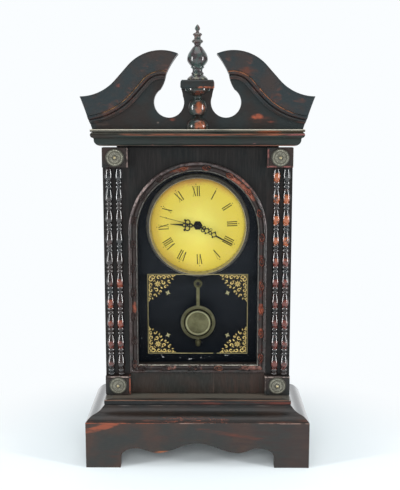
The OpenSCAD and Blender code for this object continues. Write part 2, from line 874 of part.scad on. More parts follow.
// One corner block for the upper right corner, with a bead on its inner edges
module corner_block() {
    groove_w = 0.8;
    groove_d = 1.2;
    x0 = stile_in;
    z0 = door_head - block_h;
    difference() {
        translate([x0, door_face - block_t, z0]) cube([block_w, block_t, block_h]);
        translate([x0 + block_bead_w, door_face - block_t - cut, z0 + block_bead_w])
            cube([groove_w, groove_d + cut, block_h]);
        translate([x0 + block_bead_w, door_face - block_t - cut, z0 + block_bead_w])
            cube([block_w, groove_d + cut, groove_w]);
    }
}

module corner_blocks() {
    color(worn_lacquer)
    both_sides() {
        corner_block();
        translate([0, 0, door_foot + door_head]) mirror([0, 0, 1]) corner_block();
    }
}

// Profile of a rosette: dished rings around a small knob
function rosette_profile() = let (r = rosette_d / 2) concat(
    [[0, 0], [r, 0], [r, 1.2]],
    smooth([[r - 0.4, 1.8], [r - 2.4, 2.7], [r - 4.6, 3]], 3),
    smooth([[r - 5, 2.6], [r - 7, 3.5], [r - 8.6, 3.7]], 3),
    [[r - 9, 3.2], [2.4, 3.9]],
    arc([0, 3.6], 2.3, 20, 90, 5));

module rosettes() {
    mid = stile_in + block_w / 2;
    color(antique_brass)
    both_sides()
        for (z = [door_foot + block_h / 2, door_head - block_h / 2])
            faced(mid, door_face - block_t, z) polygon(rosette_profile());
}

// Profile of one bud and its two beads, from the foot up, as radius and height
function bud_profile(h) = let (r = column_d / 2, groove = r * 0.62, bead = r * 0.84) concat(
    smooth([[groove, 0], [bead, h * 0.045], [bead, h * 0.135], [groove, h * 0.18]], 2),
    smooth([[groove, h * 0.19], [bead, h * 0.235], [bead, h * 0.325], [groove, h * 0.37]], 2),
    smooth([[groove, h * 0.385], [r * 0.9, h * 0.46], [r, h * 0.58], [r * 0.95, h * 0.7],
        [r * 0.82, h * 0.84], [r * 0.7, h * 0.94], [groove, h * 0.99]], 2));

// A split column: half of a turning, standing between the corner blocks
module column(x) {
    foot = door_foot + block_h;
    pitch = (door_h - 2 * block_h) / column_buds;
    translate([x, door_face, foot])
        rotate([0, 0, 180])
            rotate_extrude(angle = 180, $fn = 48)
                polygon(concat([[0, 0]],
                    [for (i = [0:column_buds - 1]) for (p = bud_profile(pitch))
                        [p[0], p[1] + i * pitch]],
                    [[0, column_buds * pitch - pitch * 0.01]]));
}

module columns_right() {
    color(worn_lacquer) {
        column(inner_column_x);
        column(outer_column_x);
    }
}

module columns_left() {
    color(worn_lacquer) mirror([1, 0, 0]) {
        column(inner_column_x);
        column(outer_column_x);
    }
}

// Section of the window's moulding: distance out from the window, and projection:
// an inner lip, a low rounded band and an outer roll
function arch_section() = let (w = arch_moulding_w, t = arch_moulding_t, roll = w * 0.2,
    lip = t * 0.8, low = t * 0.6) concat(
    [[0, 0], [0, lip - 0.7], [0.8, lip], [w * 0.13, lip]],
    bow([w * 0.15, low], [w * 0.565, low], 0.8, 8),
    arc([w - roll, t - roll], roll, 192, 0, 12),
    [[w, 0]]);

module arch_moulding_top() {
    color(worn_lacquer)
        translate([0, door_face, window_z]) rotate([90, 0, 0])
            rotate_extrude(angle = 180, $fn = 180)
                polygon([for (p = arch_section()) [window_r + p[0], p[1]]]);
}

module arch_moulding_leg() {
    foot = window_sill - arch_moulding_w;
    intersection() {
        translate([window_r, door_face, foot])
            linear_extrude(window_z - foot)
                polygon([for (p = arch_section()) [p[0], -p[1]]]);
        across(door_face - arch_moulding_t - cut, door_face + cut)
            polygon([[window_r - cut, window_sill + cut], [arch_out_r + cut, foot - cut],
                [arch_out_r + cut, window_z + cut], [window_r - cut, window_z + cut]]);
    }
}

module arch_moulding_right() {
    color(worn_lacquer) arch_moulding_leg();
}

module arch_moulding_left() {
    color(worn_lacquer) mirror([1, 0, 0]) arch_moulding_leg();
}

module arch_moulding_bottom() {
    foot = window_sill - arch_moulding_w;
    color(worn_lacquer)
    intersection() {
        along(-arch_out_r, arch_out_r)
            translate([door_face, window_sill])
                polygon([for (p = arch_section()) [-p[1], -p[0]]]);
        across(door_face - arch_moulding_t - cut, door_face + cut)
            polygon([[-window_r, window_sill], [-arch_out_r, foot],
                [arch_out_r, foot], [window_r, window_sill]]);
    }
}

module door_glass() {
    color("lightblue", 0.35)
        across(glass_y, bead_y)
            arched(rebate_r - glass_gap, window_sill - rebate_w + glass_gap);
}

module glazing_beads() {
    inner = window_r + 0.5;
    foot = window_sill - rebate_w;
    color(bare_wood) {
        across(bead_y, door_back)
            intersection() {
                difference() {
                    translate([0, window_z]) circle(r = rebate_r, $fn = 180);
                    translate([0, window_z]) circle(r = inner, $fn = 180);
                }
                translate([-rebate_r, window_z]) square([2 * rebate_r, rebate_r]);
            }
        both_sides()
            translate([inner, bead_y, window_sill])
                cube([rebate_r - inner, door_back - bead_y, window_z - window_sill]);
        translate([-rebate_r, bead_y, foot])
            cube([2 * rebate_r, door_back - bead_y, rebate_w]);
    }
}

// ---------------------------------------------------------------- hinges and catch

module case_hinge_leaves() {
    color(bright_brass)
    difference() {
        union() {
            for (z = hinge_zs) {
                translate([case_w / 2, hinge_y + leaf_clear, z - hinge_l / 2])
                    cube([leaf_t, case_leaf_w, hinge_l]);
                translate([hinge_x, hinge_y, z - hinge_l / 6])
                    cylinder(h = hinge_l / 3, r = barrel_r);
                translate([case_w / 2, hinge_y, z - hinge_l / 6])
                    cube([barrel_r, leaf_clear + leaf_t, hinge_l / 3]);
            }
            for (z = back_hinge_zs) {
                translate([back_hinge_x - back_leaf_w, case_back, z - back_hinge_l / 2])
                    cube([back_leaf_w - 1, back_leaf_t, back_hinge_l]);
                translate([back_hinge_x, back_hinge_y, z - back_hinge_l / 6])
                    cylinder(h = back_hinge_l / 3, r = back_barrel_r);
                translate([back_hinge_x - back_barrel_r, case_back, z - back_hinge_l / 6])
                    cube([back_barrel_r, back_hinge_y - case_back, back_hinge_l / 3]);
            }
        }
        for (z = hinge_zs)
            translate([hinge_x, hinge_y, z - hinge_l / 2])
                cylinder(h = hinge_l, r = pin_r + run_gap);
        for (z = back_hinge_zs)
            translate([back_hinge_x, back_hinge_y, z - back_hinge_l / 2])
                cylinder(h = back_hinge_l, r = back_pin_r + run_gap);
    }
}

module door_hinge_leaves() {
    color(bright_brass)
    difference() {
        union() {
            for (z = hinge_zs)
                for (s = [-1, 1])
                    translate([0, 0, z + s * (hinge_l / 3 + knuckle_gap / 2) - hinge_l / 6]) {
                        translate([hinge_x, hinge_y, 0])
                            cylinder(h = hinge_l / 3 - knuckle_gap, r = barrel_r);
                        translate([hinge_x, door_back, 0])
                            cube([barrel_r, barrel_r, hinge_l / 3 - knuckle_gap]);
                    }
            for (z = hinge_zs)
                translate([hinge_x + 0.6, door_back, z - hinge_l / 2])
                    cube([door_leaf_w, leaf_t, hinge_l]);
        }
        for (z = hinge_zs) {
            translate([hinge_x, hinge_y, z - hinge_l])
                cylinder(h = 2 * hinge_l, r = pin_r + run_gap);
            translate([hinge_x, hinge_y, z - hinge_l / 6 - knuckle_gap / 2])
                cylinder(h = hinge_l / 3 + knuckle_gap, r = barrel_r + knuckle_gap);
        }
    }
}

module hinge_pins() {
    color(bright_brass) {
        for (z = hinge_zs)
            translate([hinge_x, hinge_y, z - hinge_l / 2 - 1])
                cylinder(h = hinge_l + 2, r = pin_r);
        for (z = back_hinge_zs)
            translate([back_hinge_x, back_hinge_y, z - back_hinge_l / 2 - 1])
                cylinder(h = back_hinge_l + 2, r = back_pin_r);
    }
}

module strike_plate() {
    color(steel)
        translate([-case_w / 2 + case_t + plate_inset, door_back, catch_z - catch_l / 2])
            cube([plate_w, plate_t, catch_l]);
}

module magnetic_catch() {
    color(black_plastic)
        translate([-case_w / 2 + case_t, door_back + plate_t + door_gap, catch_z - catch_l / 2])
            cube([catch_w, catch_d, catch_l]);
}

// ---------------------------------------------------------------- back door

module back_door() {
    color(lacquer)
        translate([-back_door_w / 2, back_door_y, access_z - back_door_h / 2])
            cube([back_door_w, back_door_t, back_door_h]);
}

module back_door_hinge_leaves() {
    color(bright_brass)
    difference() {
        union() {
            for (z = back_hinge_zs)
                for (s = [-1, 1])
                    translate([back_hinge_x, back_hinge_y,
                        z + s * (back_hinge_l / 3 + knuckle_gap / 2) - back_hinge_l / 6])
                        cylinder(h = back_hinge_l / 3 - knuckle_gap, r = back_barrel_r);
            for (z = back_hinge_zs)
                translate([back_hinge_x, back_door_face, z - back_hinge_l / 2])
                    cube([back_leaf_w + 2, back_leaf_t, back_hinge_l]);
        }
        for (z = back_hinge_zs) {
            translate([back_hinge_x, back_hinge_y, z - back_hinge_l])
                cylinder(h = 2 * back_hinge_l, r = back_pin_r + run_gap);
            translate([back_hinge_x, back_hinge_y, z - back_hinge_l / 6 - knuckle_gap / 2])
                cylinder(h = back_hinge_l / 3 + knuckle_gap, r = back_barrel_r + knuckle_gap);
        }
    }
}

// The turn button stands upright, clear of the back door; turned level it holds the door
module turn_button() {
    end_r = button_w / 2;
    color(bright_brass)
    difference() {
        union() {
            across(button_y, button_y + button_t) {
                translate([button_x - end_r, access_z - button_l / 2 + end_r])
                    square([button_w, button_l - button_w]);
                for (s = [-1, 1])
                    translate([button_x, access_z + s * (button_l / 2 - end_r)])
                        circle(r = end_r);
            }
            bar(button_x, access_z, case_back + 0.1, button_y + 0.5, end_r);
        }
        bar(button_x, access_z, case_back - cut, button_y + button_t + cut,
            button_screw_r + run_gap);
        bar(button_x, access_z, button_y + button_t - 0.9, button_y + button_t + cut,
            button_head_r + run_gap);
    }
}

module turn_button_screw() {
    color(steel) {
        bar(button_x, access_z, panel_y, button_y + button_t - 0.5, button_screw_r);
        bar(button_x, access_z, button_y + button_t - 0.8, button_y + button_t,
            button_head_r);
    }
}

// ---------------------------------------------------------------- dial and movement

module dial() {
    color("#e3c85a")
    difference() {
        bar(0, dial_z, dial_y, dial_board_y, dial_r);
        bar(0, dial_z, dial_y - cut, dial_board_y + cut, dial_hole_r);
    }
}

// Profile of the bezel: radius, and height above the dial board
function bezel_profile() = let (r = bezel_r, s = dial_sight_r, h = bezel_depth) concat(
    [[dial_r + 0.2, 0], [r, 0], [r, 1.6]],
    smooth([[r - 0.2, 2.2], [r - 0.9, h * 0.26], [r - 2, h * 0.42]], 4),
    [[r - 2.6, h * 0.44], [r - 2.7, h * 0.5]],
    smooth([[r - 2.9, h * 0.52], [r - 3.2, h * 0.72], [r - 4, h * 0.88]], 4),
    arc([r - 5.1, h - 1.3], 1.3, 40, 180, 8),
    [[s + 0.4, h * 0.5], [s, 2.6], [s, dial_t + 0.2], [dial_r + 0.2, dial_t + 0.2]]);

module bezel() {
    color(antique_brass)
        faced(0, dial_board_y, dial_z) polygon(bezel_profile());
}

module rounded_plate(w, h, r) {
    union() {
        translate([-w / 2 + r, 0]) square([w - 2 * r, h]);
        translate([-w / 2, r]) square([w, h - 2 * r]);
        for (x = [-w / 2 + r, w / 2 - r])
            for (z = [r, h - r])
                translate([x, z]) circle(r = r);
    }
}

module movement_housing() {
    bay_l = battery_l + 2 * bay_gap + 1.5;
    bay_h = 2 * (battery_r + bay_gap);
    color(black_plastic)
    difference() {
        union() {
            across(housing_y, housing_back)
                translate([0, housing_foot]) rounded_plate(movement_w, movement_h, 4);
            bar(0, dial_z, bushing_front, housing_y + cut, bushing_r);
            bar(0, pivot_z, housing_back - cut, hanger_y + hanger_t + 0.4, pivot_r);
            bar(0, pivot_z, hanger_y + hanger_t + 0.3, hanger_y + hanger_t + 1.5, 3);
        }
        bar(0, dial_z, bushing_front - cut, housing_y + 6, hour_tube_r + run_gap);
        bar(0, dial_z, housing_back - 6, housing_back + cut, 2 + run_gap);
        translate([-bay_l / 2, battery_y - battery_r - bay_gap, battery_z - bay_h / 2])
            cube([bay_l, 20, bay_h]);
    }
}

module battery() {
    color("#2f4a78")
    translate([-battery_l / 2 - 0.75, battery_y, battery_z]) rotate([0, 90, 0]) {
        cylinder(h = battery_l, r = battery_r);
        translate([0, 0, battery_l - cut]) cylinder(h = cut + 1.5, r = 2.75);
    }
}

module dial_nut() {
    color(bright_brass)
    difference() {
        bar_hex(0, dial_z, dial_y - dial_nut_t, dial_y, 7);
        bar(0, dial_z, dial_y - dial_nut_t - cut, dial_y + cut, bushing_r + run_gap);
    }
}

module bar_hex(x, z, y0, y1, r) {
    translate([x, y1, z]) rotate([90, 0, 0]) cylinder(h = y1 - y0, r = r, $fn = 6);
}

module set_knob() {
    color(black_plastic)
    difference() {
        union() {
            bar(0, dial_z, housing_back + knob_gap, housing_back + 4.4, knob_r);
            bar(0, dial_z, housing_back - 5.5, housing_back + 1, 2);
        }
        for (a = [0:20:340])
            bar(knob_r * cos(a), dial_z + knob_r * sin(a), housing_back, housing_back + 5, 0.6);
    }
}

// ---------------------------------------------------------------- hands

// Ring at height z of a hand, with its bore
module hand_ring(x, z, r, bore) {
    difference() {
        translate([x, z]) circle(r = r, $fn = 40);
        translate([x, z]) circle(r = bore, $fn = 40);
    }
}

// Pierced rings of a hand: lobes holds the place and radius of each
module rings(lobes, wall) {
    difference() {
        for (p = lobes) translate([p[0], p[1]]) circle(r = p[2], $fn = 40);
        for (p = lobes) translate([p[0], p[1]]) circle(r = p[2] - wall, $fn = 40);
    }
}

// Hour hand outline: a hub, four pierced rings about a boss, two leaf tips and a spear
module hour_outline(l) {
    side = 0.112;
    lobes = l * [[0, 0.249, 0.078], [-side, 0.371, 0.102], [side, 0.371, 0.102],
        [0, 0.493, 0.078]];
    circle(r = 4.4);
    translate([-1.2, 3]) square([2.4, l * 0.2 - 3]);
    translate([0, l * 0.371]) circle(r = l * 0.029);
    for (x = [-1, 1]) translate(l * [x * 0.18, 0.473]) circle(r = l * 0.037);
    polygon([[-1.6, l * 0.545], [1.6, l * 0.545], [0.9, l * 0.78], [0.35, l], [-0.35, l],
        [-0.9, l * 0.78]]);
    rings(lobes, l * 0.039);
}

// Minute hand outline: a hub, a pair of rings, two large rings with side knobs about a
// small one, and a long spear
module minute_outline(l) {
    lobes = l * [[-0.039, 0.16, 0.045], [0.039, 0.16, 0.045], [0, 0.254, 0.066],
        [0, 0.356, 0.045], [0, 0.458, 0.066]];
    circle(r = 3.6);
    translate([-0.9, 2.5]) square([1.8, l * 0.2 - 2.5]);
    for (x = [-1, 1], z = [0.254, 0.458])
        translate(l * [x * 0.075, z]) circle(r = l * 0.019);
    polygon([[-1.3, l * 0.51], [1.3, l * 0.51], [0.9, l * 0.72], [0.3, l], [-0.3, l],
        [-0.9, l * 0.72]]);
    rings(lobes, l * 0.022);
}

module second_outline(l) {
    tail = 20;
    union() {
        polygon([[-0.45, -tail + 2], [0.45, -tail + 2], [0.25, l], [-0.25, l]]);
        circle(r = 2);
        translate([0, l * 0.83]) circle(r = 0.9, $fn = 32);
        hand_ring(0, -tail, 2.1, 1.4);
    }
}

// A hand's plate, drawn pointing to twelve, turned to its angle about the arbor
module hand_plate(angle, y) {
    translate([0, 0, dial_z]) rotate([0, angle, 0])
        across(y - hand_t, y) children();
}

module hour_hand() {
    color(black_metal)
    difference() {
        union() {
            hand_plate(hour_angle, hour_y) hour_outline(hour_l);
            bar(0, dial_z, hour_y - hand_t / 2, housing_y + 5, hour_tube_r);
        }
        bar(0, dial_z, hour_y - cut, housing_y + 6, minute_arbor_r + run_gap);
    }
}

module minute_hand() {
    color(black_metal)
    difference() {
        union() {
            hand_plate(minute_angle, minute_y) minute_outline(minute_l);
            bar(0, dial_z, minute_y - hand_t / 2, housing_y + 5, minute_arbor_r);
        }
        bar(0, dial_z, minute_y - cut, housing_y + 6, second_arbor_r + run_gap);
    }
}

module second_hand() {
    color(black_metal) {
        hand_plate(second_angle, second_y) second_outline(second_l);
        bar(0, dial_z, second_y - hand_t - 0.8, second_y + 0.6, 1.4);
        bar(0, dial_z, second_y - hand_t / 2, housing_y + 5, second_arbor_r);
    }
}

// ---------------------------------------------------------------- pendulum

module pendulum_hanger() {
    color(black_metal)
    difference() {
        union() {
            across(hanger_y, hanger_y + hanger_t) {
                translate([0, pivot_z]) circle(r = 4.5);
                translate([0, eye_z]) circle(r = 5.4);
                translate([-2, eye_z]) square([4, hanger_l]);
            }
            bar(0, pivot_z, rod_y, hanger_y + hanger_t, 3.6);
            bar(0, eye_z, rod_y - 1.2, hanger_y + hanger_t / 2, rivet_r);
            bar(0, eye_z, rod_y - 2.2, rod_y - 1.1, 2.8);
        }
        bar(0, pivot_z, rod_y - cut, hanger_y + hanger_t + cut, pivot_r + run_gap);
    }
}

module pendulum_rod() {
    color(antique_brass)
    difference() {
        union() {
            across(rod_y, hanger_y) {
                translate([0, eye_z]) circle(r = rod_eye_r);
                translate([-rod_w / 2, bob_z - bob_d / 2 + 4])
                    square([rod_w, eye_z - bob_z + bob_d / 2 - 4]);
            }
            faced(0, rod_y, eye_z)
                polygon(concat([[rivet_r + 1.8, -0.3], [rod_eye_r, -0.3], [rod_eye_r, 0.3]],
                    arc([rod_eye_r - 1.4, 0.3], 1.1, 0, 180, 8),
                    [[rivet_r + 1.8, 0.2]]));
            translate([0, (rod_y + hanger_y) / 2, thread_foot])
                cylinder(h = bob_z - bob_d / 2 + 6 - thread_foot, r = thread_r);
        }
        bar(0, eye_z, rod_y - cut, hanger_y + cut, rivet_r + run_gap);
    }
}

// Profile of the bob: radius, and height above its back, with a raised ring
function bob_profile() = let (r = bob_d / 2, t = bob_t) concat(
    [[0, 0], [r - 0.6, 0], [r, 0.8], [r, 1.6]],
    smooth([[r - 0.5, 2.1], [r - 2.6, t * 0.58], [r - 4.6, t * 0.62]], 4),
    arc([r * 0.755, t * 0.66], r * 0.07, 0, 180, 10),
    [[r * 0.66, t * 0.62], [r * 0.62, t * 0.74]],
    smooth([[r * 0.58, t * 0.8], [r * 0.3, t * 0.92], [0, t * 0.96]], 4));

module pendulum_bob() {
    slot_gap = 0.1;
    color(antique_brass)
    difference() {
        faced(0, bob_back, bob_z) polygon(bob_profile());
        translate([-rod_w / 2 - slot_gap, rod_y - slot_gap, bob_z - bob_d])
            cube([rod_w + 2 * slot_gap, rod_t + 2 * slot_gap, 2 * bob_d]);
        translate([0, (rod_y + hanger_y) / 2, bob_z - bob_d])
            cylinder(h = bob_d, r = thread_r + 0.3);
    }
}

module rating_nut() {
    nut_axis_y = (rod_y + hanger_y) / 2;
    color(antique_brass)
    difference() {
        translate([0, nut_axis_y, nut_top - nut_h])
            rotate_extrude()
                polygon([[0, 0], [nut_d * 0.36, 0], [nut_d * 0.4, 0.6], [nut_d * 0.4, nut_h * 0.3],
                    [nut_d * 0.5 - 0.4, nut_h * 0.36], [nut_d / 2, nut_h * 0.42],
                    [nut_d / 2, nut_h * 0.78], [nut_d * 0.5 - 0.4, nut_h * 0.84],
                    [nut_d * 0.34, nut_h * 0.88], [nut_d * 0.34, nut_h], [0, nut_h]]);
        translate([0, nut_axis_y, nut_top - nut_h - cut])
            cylinder(h = nut_h + 2 * cut, r = thread_r + run_gap);
    }
}

base_front_skirt();
base_left_skirt();
base_right_skirt();
base_back_rail();
base_moulding_front();
base_moulding_left();
base_moulding_right();
base_deck();
case_left_side();
case_right_side();
case_top();
back_panel();
dial_board();
cornice_board();
cornice_moulding_front();
cornice_moulding_left();
cornice_moulding_right();
tympanum();
crown_moulding_left();
crown_moulding_right();
capital_block();
split_spindle();
finial();
door_left_stile();
door_right_stile();
door_panel_left();
door_panel_right();
door_bottom_rail();
corner_blocks();
rosettes();
columns_left();
columns_right();
arch_moulding_top();
arch_moulding_left();
arch_moulding_right();
arch_moulding_bottom();
door_glass();
glazing_beads();
door_hinge_leaves();
strike_plate();
case_hinge_leaves();
hinge_pins();
magnetic_catch();
back_door();
back_door_hinge_leaves();
turn_button();
turn_button_screw();
dial();
bezel();
movement_housing();
dial_nut();
hour_hand();
minute_hand();
second_hand();
battery();
set_knob();
pendulum_hanger();
pendulum_rod();
pendulum_bob();
rating_nut();
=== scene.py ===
"""Looks for the ogee shelf clock: finishes for the solids, the carved window
moulding, the rosettes, the dial's figures and the gilding on the glass.
Lengths are millimetres in the frame of the solids: X to the right, Y to the back, Z up."""

import math

import bpy
import numpy as np
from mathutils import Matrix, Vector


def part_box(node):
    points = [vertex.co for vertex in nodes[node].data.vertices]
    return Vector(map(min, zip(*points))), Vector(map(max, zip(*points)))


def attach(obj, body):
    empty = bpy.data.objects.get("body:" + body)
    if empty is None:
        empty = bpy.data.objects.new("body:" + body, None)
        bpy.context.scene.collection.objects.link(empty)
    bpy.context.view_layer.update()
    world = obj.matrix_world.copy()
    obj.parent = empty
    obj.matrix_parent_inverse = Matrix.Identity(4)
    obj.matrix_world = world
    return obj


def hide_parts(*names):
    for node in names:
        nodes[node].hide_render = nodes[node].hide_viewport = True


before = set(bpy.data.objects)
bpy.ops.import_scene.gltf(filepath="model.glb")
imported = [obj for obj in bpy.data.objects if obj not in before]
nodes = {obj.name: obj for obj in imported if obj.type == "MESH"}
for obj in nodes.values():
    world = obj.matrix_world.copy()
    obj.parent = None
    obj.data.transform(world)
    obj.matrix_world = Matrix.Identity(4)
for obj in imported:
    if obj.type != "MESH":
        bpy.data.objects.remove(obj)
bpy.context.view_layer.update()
MM = 0.001
ROSETTE_R = 13
CAP_LEDGE = 11.3  # depth of the level top of the cap moulding, behind its front face


def levels():
    """Places read from the solids' boxes, in millimetres."""
    def box(name):
        return (np.array(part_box(name)) / MM).tolist()
    dial_lo, dial_hi = box("dial")
    arch_lo, arch_hi = box("arch_moulding_top")
    leg_lo, leg_hi = box("arch_moulding_right")
    rosette_lo, rosette_hi = box("rosettes")
    cap_lo, cap_hi = box("base_moulding_front")
    cornice_lo, cornice_hi = box("cornice_board")
    column_lo, column_hi = box("columns_right")
    capital_lo, capital_hi = box("capital_block")
    bob_lo, bob_hi = box("pendulum_bob")
    return {
        "glass_front": box("door_glass")[0][1],
        "dial_face": dial_lo[1],
        "dial_z": (dial_lo[2] + dial_hi[2]) / 2,
        "door_face": arch_hi[1],
        "moulding_t": arch_hi[1] - arch_lo[1],
        "spring_z": arch_lo[2],
        "arch_out": arch_hi[0],
        "window_r": leg_lo[0],
        "sill_z": leg_lo[2] + leg_hi[0] - leg_lo[0],
        "block_face": rosette_hi[1],
        "rosette_x": rosette_hi[0] - ROSETTE_R,
        "low_rosette": rosette_lo[2] + ROSETTE_R,
        "high_rosette": rosette_hi[2] - ROSETTE_R,
        "cap_foot": cap_lo[2],
        "cap_top": cap_hi[2],
        "base_front": cap_lo[1],
        "cap_face": cap_hi[1] - CAP_LEDGE,
        "cap_side": cap_hi[0] - (cap_hi[1] - cap_lo[1]) + CAP_LEDGE,
        "bed_foot": box("cornice_moulding_front")[0][2],
        "cornice_foot": cornice_lo[2],
        "cornice_top": cornice_hi[2],
        "cornice_front": cornice_lo[1],
        "board_face": box("tympanum")[0][1],
        "column_foot": column_lo[2],
        "column_top": column_hi[2],
        "capital_foot": capital_lo[2],
        "capital_top": capital_hi[2],
        "bob_z": (bob_lo[2] + bob_hi[2]) / 2,
    }


AT = levels()
DIAL_AXIS = (0, AT["dial_z"])
BOB_AXIS = (0, AT["bob_z"])


# ------------------------------------------------------------------ shader maths

def tone(code):
    """Linear colour of a #rrggbb code: each channel by the sRGB curve."""
    parts = np.array([int(code[i:i + 2], 16) for i in (1, 3, 5)]) / 255
    linear = np.where(parts <= 0.04045, parts / 12.92, ((parts + 0.055) / 1.055) ** 2.4)
    return (*linear.tolist(), 1.0)


def math_node(operation, flip=False):
    """A method that joins a value to others in one Math node; flip puts the value last."""
    def join(self, *others):
        terms = [*others, self] if flip else [self, *others]
        return self.finish.add("ShaderNodeMath", {"operation": operation},
                               dict(enumerate(terms)))
    return join


class Value:
    """A number socket of one finish; arithmetic on it adds Math nodes."""

    def __init__(self, finish, socket):
        self.finish = finish
        self.socket = socket

    __add__ = __radd__ = math_node("ADD")
    __mul__ = __rmul__ = math_node("MULTIPLY")
    __sub__ = math_node("SUBTRACT")
    __rsub__ = math_node("SUBTRACT", flip=True)
    __truediv__ = math_node("DIVIDE")
    __rtruediv__ = math_node("DIVIDE", flip=True)
    __pow__ = math_node("POWER")
    __abs__ = math_node("ABSOLUTE")
    most = math_node("MAXIMUM")
    least = math_node("MINIMUM")
    whole = math_node("FLOOR")
    rest = math_node("FRACT")


def distance(x, z, centre):
    """Distance from an axis through centre, square to the plane of x and z."""
    return ((x - centre[0]) ** 2 + (z - centre[1]) ** 2) ** 0.5


class Finish:
    """One material, or the world, and the few kinds of node that its look is made of."""

    def __init__(self, name, owner=None):
        self.material = owner or bpy.data.materials.new(name)
        self.material.use_nodes = True
        self.tree = self.material.node_tree
        self.tree.nodes.clear()
        self.place = self.add("ShaderNodeTexCoord", out="Object")

    def add(self, kind, settings=None, sockets=None, out=0):
        """A node of this kind: its settings first, then values or links of its sockets."""
        node = self.tree.nodes.new(kind)
        for key, value in (settings or {}).items():
            setattr(node, key, value)
        for key, value in (sockets or {}).items():
            if isinstance(value, Value):
                self.tree.links.new(value.socket, node.inputs[key])
            else:
                node.inputs[key].default_value = value
        return Value(self, node.outputs[out])

    def axes(self):
        """X, Y and Z of the surface point, in millimetres."""
        return [self.add("ShaderNodeSeparateXYZ", None, {0: self.place}, k) / MM
                for k in ("X", "Y", "Z")]

    def noise(self, size, detail=3.0, stretch=(1, 1, 1), seed=0.0, rough=0.55, twist=0.0):
        """Fractal noise from 0 to 1: blobs about size mm across, longer where stretch is small."""
        scaled = self.add("ShaderNodeVectorMath", {"operation": "MULTIPLY"},
                          {0: self.place, 1: [s / (size * MM) for s in stretch]})
        moved = self.add("ShaderNodeVectorMath", {"operation": "ADD"},
                         {0: scaled, 1: (seed, seed * 1.7, seed * 0.6)})
        return self.add("ShaderNodeTexNoise", None, {
            "Vector": moved, "Scale": 1.0, "Detail": detail, "Roughness": rough,
            "Distortion": twist})

    def step(self, value, low, high, start=0.0, end=1.0):
        """Smooth rise from start to end as value goes from low to high."""
        return self.add("ShaderNodeMapRange", {"interpolation_type": "SMOOTHSTEP"},
                        {0: value, 1: low, 2: high, 3: start, 4: end})

    def spots(self, rows):
        """Layers from rows of an ellipsoid's centre and radii, a share and a colour."""
        return [(self.spot(centre, radii) * share, code) for centre, radii, share, code in rows]

    def spot(self, centre, radii):
        """1 in the middle of an ellipsoid, falling to 0 at its skin."""
        shifted = self.add("ShaderNodeVectorMath", {"operation": "SUBTRACT"},
                           {0: self.place, 1: [c * MM for c in centre]})
        scaled = self.add("ShaderNodeVectorMath", {"operation": "DIVIDE"},
                          {0: shifted, 1: [r * MM for r in radii]})
        far = self.add("ShaderNodeVectorMath", {"operation": "LENGTH"}, {0: scaled}, "Value")
        return self.step(far, 0.25, 1.0, 1.0, 0.0)

    def line(self, value, middle, half, soft):
        """1 where value is within half of middle, with soft edges."""
        return self.step(abs(value - middle), half, half + soft, 1.0, 0.0)

    def edges(self, width):
        """1 at sharp outer edges, where the part's other faces lie within width mm inside."""
        inside = self.add("ShaderNodeAmbientOcclusion",
                          {"inside": True, "only_local": True, "samples": 8},
                          {"Distance": width * MM}, "AO")
        return self.step(inside, 0.5, 0.97, 1.0, 0.0)

    def mix(self, share, first, second):
        """Colour between first and second."""
        return self.add("ShaderNodeMix", {"data_type": "RGBA"},
                        {0: share, 6: first, 7: second}, 2)

    def layers(self, base, shares):
        """Colours laid over base one after the other, each where its share is 1."""
        for share, code in shares:
            base = self.mix(share, base, tone(code))
        return base

    def bump(self, height, depth):
        """Normal of a surface whose height of 1 stands depth mm proud."""
        return self.add("ShaderNodeBump", None, {
            "Height": height, "Distance": depth * MM, "Strength": 1.0})

    def skin(self, **sockets):
        """The finish's surface, from its Principled sockets."""
        self.close(self.add("ShaderNodeBsdfPrincipled", None, {
            key.replace("_", " "): value for key, value in sockets.items()}))
        return self.material

    def close(self, shader, kind="ShaderNodeOutputMaterial"):
        """Ends the tree with this shader."""
        self.tree.links.new(shader.socket, self.tree.nodes.new(kind).inputs["Surface"])


# ------------------------------------------------------------------ finishes

def lacquer(name, wear_and_light=None, edge=0.5, edge_tone="#5c3226", along=(1, 1, 1), gloss=0.3,
            coat=0.0, seed=1.0, dark="#1b2122", brown="#241d1a", grain=0.0, cloud_size=46,
            shine=0.3):
    """Black lacquer, clouded brown, over a red-brown undercoat that shows where it is rubbed.

    The function given for wear and painted light takes the finish and x, y, z in mm and gives
    layers, each a mask and a colour: rubs where the undercoat shows, and painted highlights,
    reflections and shade. Noise breaks the masks up, and the sum of the layers makes the lacquer
    duller and lower there."""
    f = Finish(name)
    x, y, z = f.axes()
    cloud = f.noise(cloud_size, 4, seed=seed)
    patch = f.noise(11, 4, seed=seed + 3)
    grit = f.noise(1.5, 3, along, seed=seed + 5)
    threads = f.noise(1.3, 4, along, seed=seed + 9)
    ragged = f.noise(5, 5, along, seed=seed + 7) * 3.4 + grit * 1.2 - 1.5
    base = f.mix(f.step(cloud, 0.38, 0.62), tone(dark), tone(brown))
    base = f.mix(f.step(threads, 0.4, 0.66) * grain, base, tone("#443f3c"))
    rub = f.edges(0.8) * f.step(patch, 0.4, 0.62) * edge
    marks = [(rub, edge_tone), *(wear_and_light(f, x, y, z) if wear_and_light else [])]
    shares = [(f.step(mark * ragged, 0.12, 0.95), code) for mark, code in marks]
    base = f.layers(base, shares)
    layered = sum(share for share, code in shares).least(1.0)
    return f.skin(Base_Color=base, Roughness=gloss + layered * 0.14 + (patch - 0.5) * 0.12,
                  Specular_IOR_Level=shine, Coat_Weight=coat, Coat_Roughness=0.06,
                  Normal=f.bump(threads * 0.5 + cloud * 0.5 - layered * 0.5, 0.07))


